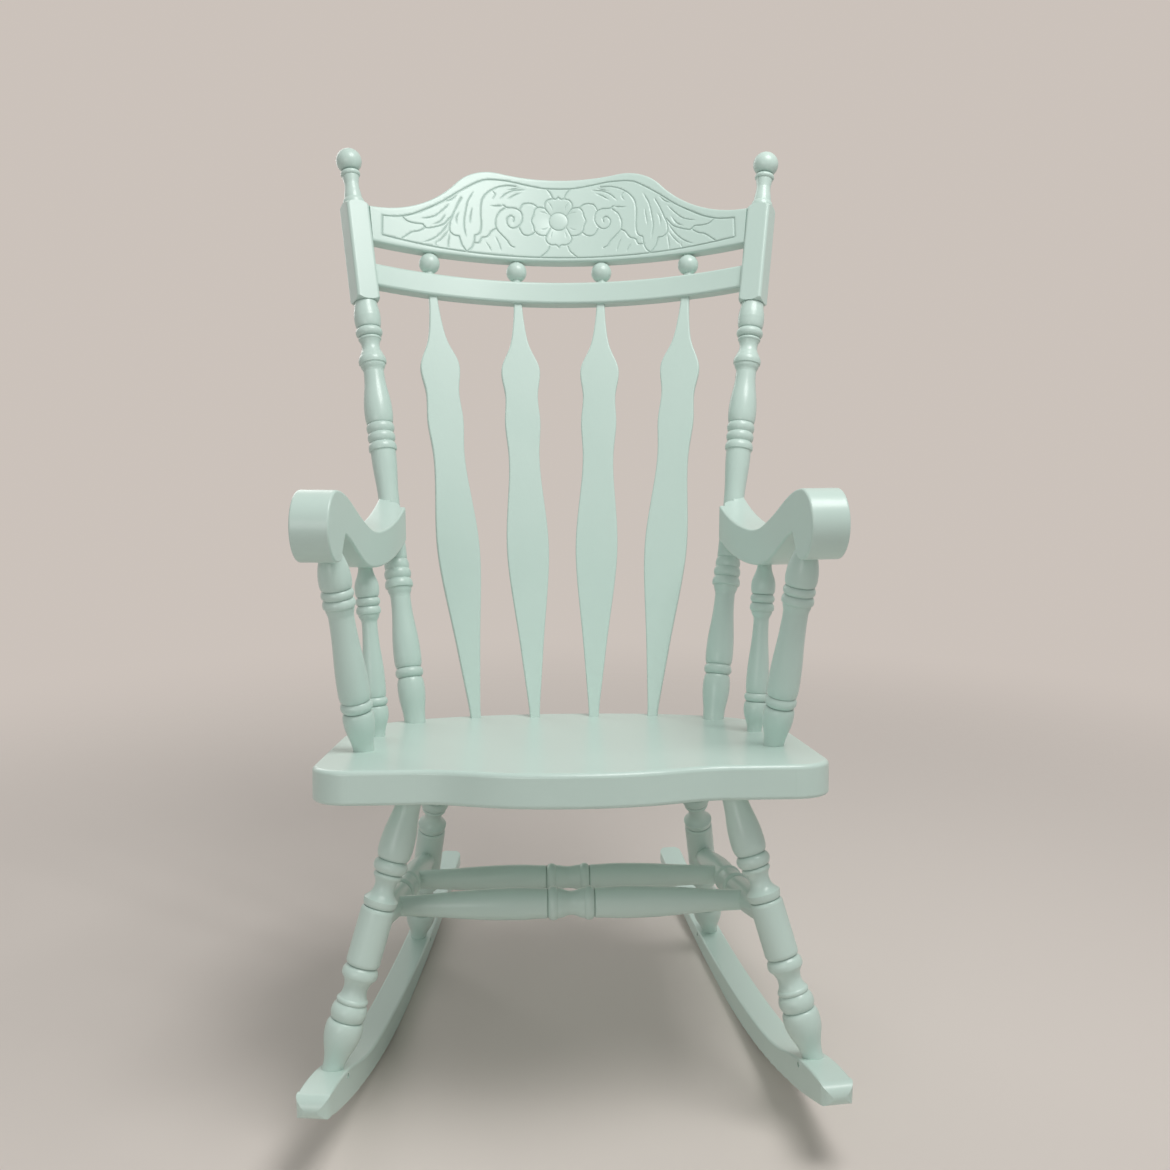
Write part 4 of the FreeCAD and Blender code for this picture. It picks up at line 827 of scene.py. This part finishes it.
    def carved_rows(
        self, strokes: Sequence[tuple[Stroke, np.ndarray]]
    ) -> tuple[list[np.ndarray], list[tuple[int, int]]]:
        """Points along every cut.

        Args:
            strokes: each stroke with its sampled path.

        Returns:
            Rows of points, the middle lines first, and the pairs that the middle lines join.
        """
        middles, flanks, edges, count = [], [], [], 0
        taken: set[tuple[int, int]] = set()
        for _, path in strokes:
            edges += [(count + i, count + i + 1) for i in range(len(path) - 1)]
            count += len(path)
            middles.append(path)
            taken |= set(cells_of(path, CUT_CELL))
        for stroke, path in strokes:
            heading = np.gradient(path, axis=0)
            heading /= np.linalg.norm(heading, axis=1)[:, None] + 1e-12
            aside = np.column_stack([-heading[:, 1], heading[:, 0]])
            for share in FLANK_SHARES:
                row = path + aside * (share * stroke.width)
                cells = cells_of(row, CUT_CELL)
                fresh = [k for k, cell in enumerate(cells) if cell not in taken]
                taken |= set(cells)
                flanks.append(row[fresh])
        return middles + flanks, edges

    def flat_mesh(self) -> bpy.types.Mesh:
        """Draw the whole board flat: carved front, plain back and the edges between.

        Returns:
            A closed mesh in millimetres.
        """
        strokes = self.strokes()
        rows, edges = self.carved_rows(strokes)
        front, front_faces, count = self.sheet(rows, edges, self.grid)
        back, back_faces, _ = self.sheet([], [], self.back_grid)
        depth = self.rounding(front)
        face_on = depth < 1e-6
        dish = self.dish(front)
        cuts = dish
        for stroke, path in strokes:
            cuts = np.maximum(cuts, stroke.cut(path, front) + SUNK_SHARE * dish)
        depth = depth + np.where(face_on, cuts, 0.0)
        behind = self.thick - self.rounding(back)
        vertices = [(x, d, h) for (x, h), d in zip(front, depth)]
        vertices += [(x, d, h) for (x, h), d in zip(back, behind)]
        shift = len(front)
        faces = [tuple(face) for face in front_faces]
        faces += [tuple(face + shift) for face in back_faces]
        for i in range(count):
            j = (i + 1) % count
            faces.append((i, j, j + shift, i + shift))
        mesh = bpy.data.meshes.new("crest_flat")
        mesh.from_pydata(vertices, [], faces)
        shape = bmesh.new()
        shape.from_mesh(mesh)
        bmesh.ops.recalc_face_normals(shape, faces=shape.faces)
        shape.to_mesh(mesh)
        shape.free()
        return mesh

    def bending_tree(self) -> tuple[bpy.types.NodeTree, dict[str, str]]:
        """Build the tree that bends the flat board round the rails' arc and leans it back.

        Returns:
            The tree, and the identifier of each named input.
        """
        tree = bpy.data.node_groups.new("bend_board", "GeometryNodeTree")
        face = tree.interface
        face.new_socket("Board", in_out="INPUT", socket_type="NodeSocketGeometry")
        names = {}
        for name in ("Face Radius", "Arc Back", "Low Edge", "Rake", "Base Y", "Base Z"):
            socket = face.new_socket(name, in_out="INPUT", socket_type="NodeSocketFloat")
            names[name] = socket.identifier
        paint_socket = face.new_socket("Paint", in_out="INPUT", socket_type="NodeSocketMaterial")
        names["Paint"] = paint_socket.identifier
        face.new_socket("Board", in_out="OUTPUT", socket_type="NodeSocketGeometry")
        bench = NodeBench(tree)
        given = bench.add("NodeGroupInput").outputs
        place = bench.add("ShaderNodeSeparateXYZ")
        bench.link(bench.add("GeometryNodeInputPosition").outputs[0], place.inputs[0])
        x, depth, height = place.outputs
        radius = bench.maths("ADD", given["Face Radius"], depth)
        outer = bench.maths("MULTIPLY", radius, radius)
        square = bench.maths("SUBTRACT", outer, bench.maths("MULTIPLY", x, x))
        behind = bench.maths("SUBTRACT", bench.maths("SQRT", square), given["Arc Back"])
        up = bench.maths("ADD", height, given["Low Edge"])
        sine = bench.maths("SINE", given["Rake"])
        cosine = bench.maths("COSINE", given["Rake"])
        leant = bench.maths("MULTIPLY", up, sine)
        back = bench.maths("MULTIPLY_ADD", behind, cosine, leant)
        dropped = bench.maths("MULTIPLY", behind, sine)
        rise = bench.maths("SUBTRACT", bench.maths("MULTIPLY", up, cosine), dropped)
        bent = bench.add("ShaderNodeCombineXYZ")
        bench.link(x, bent.inputs[0])
        bench.link(bench.maths("ADD", back, given["Base Y"]), bent.inputs[1])
        bench.link(bench.maths("ADD", rise, given["Base Z"]), bent.inputs[2])
        scale = bench.add("ShaderNodeVectorMath", operation="SCALE")
        bench.link(bent.outputs[0], scale.inputs[0])
        scale.inputs["Scale"].default_value = MM
        move = bench.add("GeometryNodeSetPosition")
        bench.link(given["Board"], move.inputs["Geometry"])
        bench.link(scale.outputs[0], move.inputs["Position"])
        real = bench.add("GeometryNodeRealizeInstances")
        bench.link(move.outputs[0], real.inputs[0])
        skin = bench.add("GeometryNodeSetMaterial")
        bench.link(real.outputs[0], skin.inputs["Geometry"])
        bench.link(given["Paint"], skin.inputs["Material"])
        bench.link(skin.outputs[0], bench.add("NodeGroupOutput").inputs[0])
        return tree, names

    def shoulder(self, mesh: bpy.types.Mesh) -> None:
        """Cut the board's ends where they butt on the blocks.

        Args:
            mesh: the bent board, changed in place.
        """
        shape = bmesh.new()
        shape.from_mesh(mesh)
        for face in shape.faces:
            face.smooth = True
        for sign in (1.0, -1.0):
            normal = Vector((sign * self.block_normal[0], *self.block_normal[1:]))
            foot = Vector((sign * self.post_foot[0], *self.post_foot[1:]))
            plane = (foot - normal * self.block_half) * MM
            cut = bmesh.ops.bisect_plane(
                shape,
                geom=[*shape.verts, *shape.edges, *shape.faces],
                dist=1e-7,
                plane_co=plane,
                plane_no=normal,
                clear_outer=True,
            )
            rim = [item for item in cut["geom_cut"] if isinstance(item, bmesh.types.BMEdge)]
            caps = bmesh.ops.triangle_fill(shape, use_beauty=True, edges=rim)
            for item in caps["geom"]:
                if isinstance(item, bmesh.types.BMFace):
                    item.smooth = False
            for edge in rim:
                edge.smooth = False
        bmesh.ops.recalc_face_normals(shape, faces=shape.faces)
        shape.to_mesh(mesh)
        shape.free()

    def build(self, shop: Workshop) -> bpy.types.Object:
        """Make the carved board and let it stand for its CAD node.

        Args:
            shop: the workshop that has the finishes.

        Returns:
            The finished piece.
        """
        flat = bpy.data.objects.new("crest_flat", self.flat_mesh())
        bpy.context.scene.collection.objects.link(flat)
        tree, names = self.bending_tree()
        bend = flat.modifiers.new("bend", "NODES")
        bend.node_group = tree
        bend[names["Face Radius"]] = self.arc_radius - 0.5 * self.thick
        bend[names["Arc Back"]] = self.arc_back
        bend[names["Low Edge"]] = self.low_edge
        bend[names["Rake"]] = self.rake
        bend[names["Base Y"]] = self.base_y
        bend[names["Base Z"]] = self.base_z
        bend[names["Paint"]] = shop.finish("paint_across")
        graph = bpy.context.evaluated_depsgraph_get()
        mesh = bpy.data.meshes.new_from_object(flat.evaluated_get(graph))
        flat.modifiers.remove(bend)
        bpy.data.objects.remove(flat)
        self.shoulder(mesh)
        mesh.name = "carved_crest_rail"
        piece = bpy.data.objects.new("carved_crest_rail", mesh)
        bpy.context.scene.collection.objects.link(piece)
        shop.place(piece, Slot.PAINTED_WOOD, "crest_rail")
        return piece


@dataclass(frozen=True)
class Lamp:
    """Square soft lamp: where it hangs, what it faces, its side and its watts."""

    name: str
    place: tuple[float, float, float]
    aim: tuple[float, float, float]
    size: float
    power: float

    def hang(self, colour: Colour) -> None:
        """Hang the lamp in the scene.

        Args:
            colour: colour of its light.
        """
        data = bpy.data.lights.new(self.name, "AREA")
        data.shape = "SQUARE"
        data.size = self.size
        data.energy = self.power
        data.color = colour
        lamp = bpy.data.objects.new(self.name, data)
        bpy.context.scene.collection.objects.link(lamp)
        lamp.location = self.place
        heading = Vector(self.aim) - Vector(self.place)
        lamp.rotation_euler = heading.to_track_quat("-Z", "Y").to_euler()


@dataclass
class Studio:
    """Floor, background, lamps and camera."""

    floor_radius: float = 7.0
    floor: FloorFinish = FloorFinish("pale_floor", (0.70, 0.64, 0.595), 0.9, 2.4)
    background: Colour = (0.60, 0.54, 0.495)
    fill: Colour = (1.0, 1.0, 0.99)
    fill_strength: float = 0.34
    lamps: tuple[Lamp, ...] = (
        Lamp("ceiling_lamp", (0.75, -0.75, 2.9), (0.0, -0.1, 0.4), 1.3, 45.0),
        Lamp("front_lamp", (-1.2, -2.9, 1.2), (0.0, 0.0, 0.35), 1.2, 11.0),
        Lamp("rear_lamp", (-1.6, 2.6, 2.0), (0.0, 0.0, 0.6), 1.8, 16.0),
    )
    eye: tuple[float, float, float] = (-0.041, -1.5145, 0.824)
    turn: float = math.radians(-2.5)
    sensor: float = 36.0
    dip: float = math.atan2(IMAGE_SIDE, PLUMB_POINT_BELOW)

    def lay_floor(self) -> None:
        """Lay a round floor under the rockers."""
        mesh = bpy.data.meshes.new("floor")
        shape = bmesh.new()
        bmesh.ops.create_circle(shape, cap_ends=True, segments=96, radius=self.floor_radius)
        shape.to_mesh(mesh)
        shape.free()
        floor = bpy.data.objects.new("floor", mesh)
        bpy.context.scene.collection.objects.link(floor)
        mesh.materials.append(self.floor.build())

    def light_world(self) -> None:
        """Light the chair softly all round, and show the background to the camera."""
        world = bpy.data.worlds.new("studio")
        world.use_nodes = True
        tree = world.node_tree
        bench = NodeBench(tree)
        soft = tree.nodes["Background"]
        soft.inputs["Color"].default_value = rgba(self.fill)
        soft.inputs["Strength"].default_value = self.fill_strength
        shown = bench.add("ShaderNodeBackground")
        shown.inputs["Color"].default_value = rgba(self.background)
        path = bench.add("ShaderNodeLightPath")
        seen = bench.maths("MAXIMUM", path.outputs["Is Camera Ray"], path.outputs["Is Glossy Ray"])
        seen = bench.maths("MAXIMUM", seen, path.outputs["Is Transmission Ray"])
        blend = bench.add("ShaderNodeMixShader")
        bench.link(seen, blend.inputs[0])
        bench.link(soft.outputs[0], blend.inputs[1])
        bench.link(shown.outputs[0], blend.inputs[2])
        bench.link(blend.outputs[0], tree.nodes["World Output"].inputs["Surface"])
        bpy.context.scene.world = world

    def set_camera(self) -> None:
        """Stand the camera at the photograph's place, with a lens as long as its sensor."""
        data = bpy.data.cameras.new("camera")
        data.sensor_width = self.sensor
        data.lens = self.sensor
        camera = bpy.data.objects.new("camera", data)
        bpy.context.scene.collection.objects.link(camera)
        camera.location = self.eye
        camera.rotation_euler = (math.pi / 2 - self.dip, 0.0, self.turn)
        bpy.context.scene.camera = camera

    def build(self) -> None:
        """Build the whole studio."""
        self.lay_floor()
        self.light_world()
        for lamp in self.lamps:
            lamp.hang(self.fill)
        self.set_camera()
        bpy.context.scene.view_settings.view_transform = "Standard"


def main() -> None:
    """Dress the frame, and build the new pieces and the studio."""
    logging.basicConfig(level=logging.INFO, format="%(name)s: %(message)s")
    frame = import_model()
    shop = Workshop(frame["nodes"])
    Undercarriage().dress(shop)
    Seat().dress(shop)
    Arms().dress(shop)
    Back().dress(shop)
    CrestRail().build(shop)
    Studio().build()


if __name__ == "__main__":
    main()
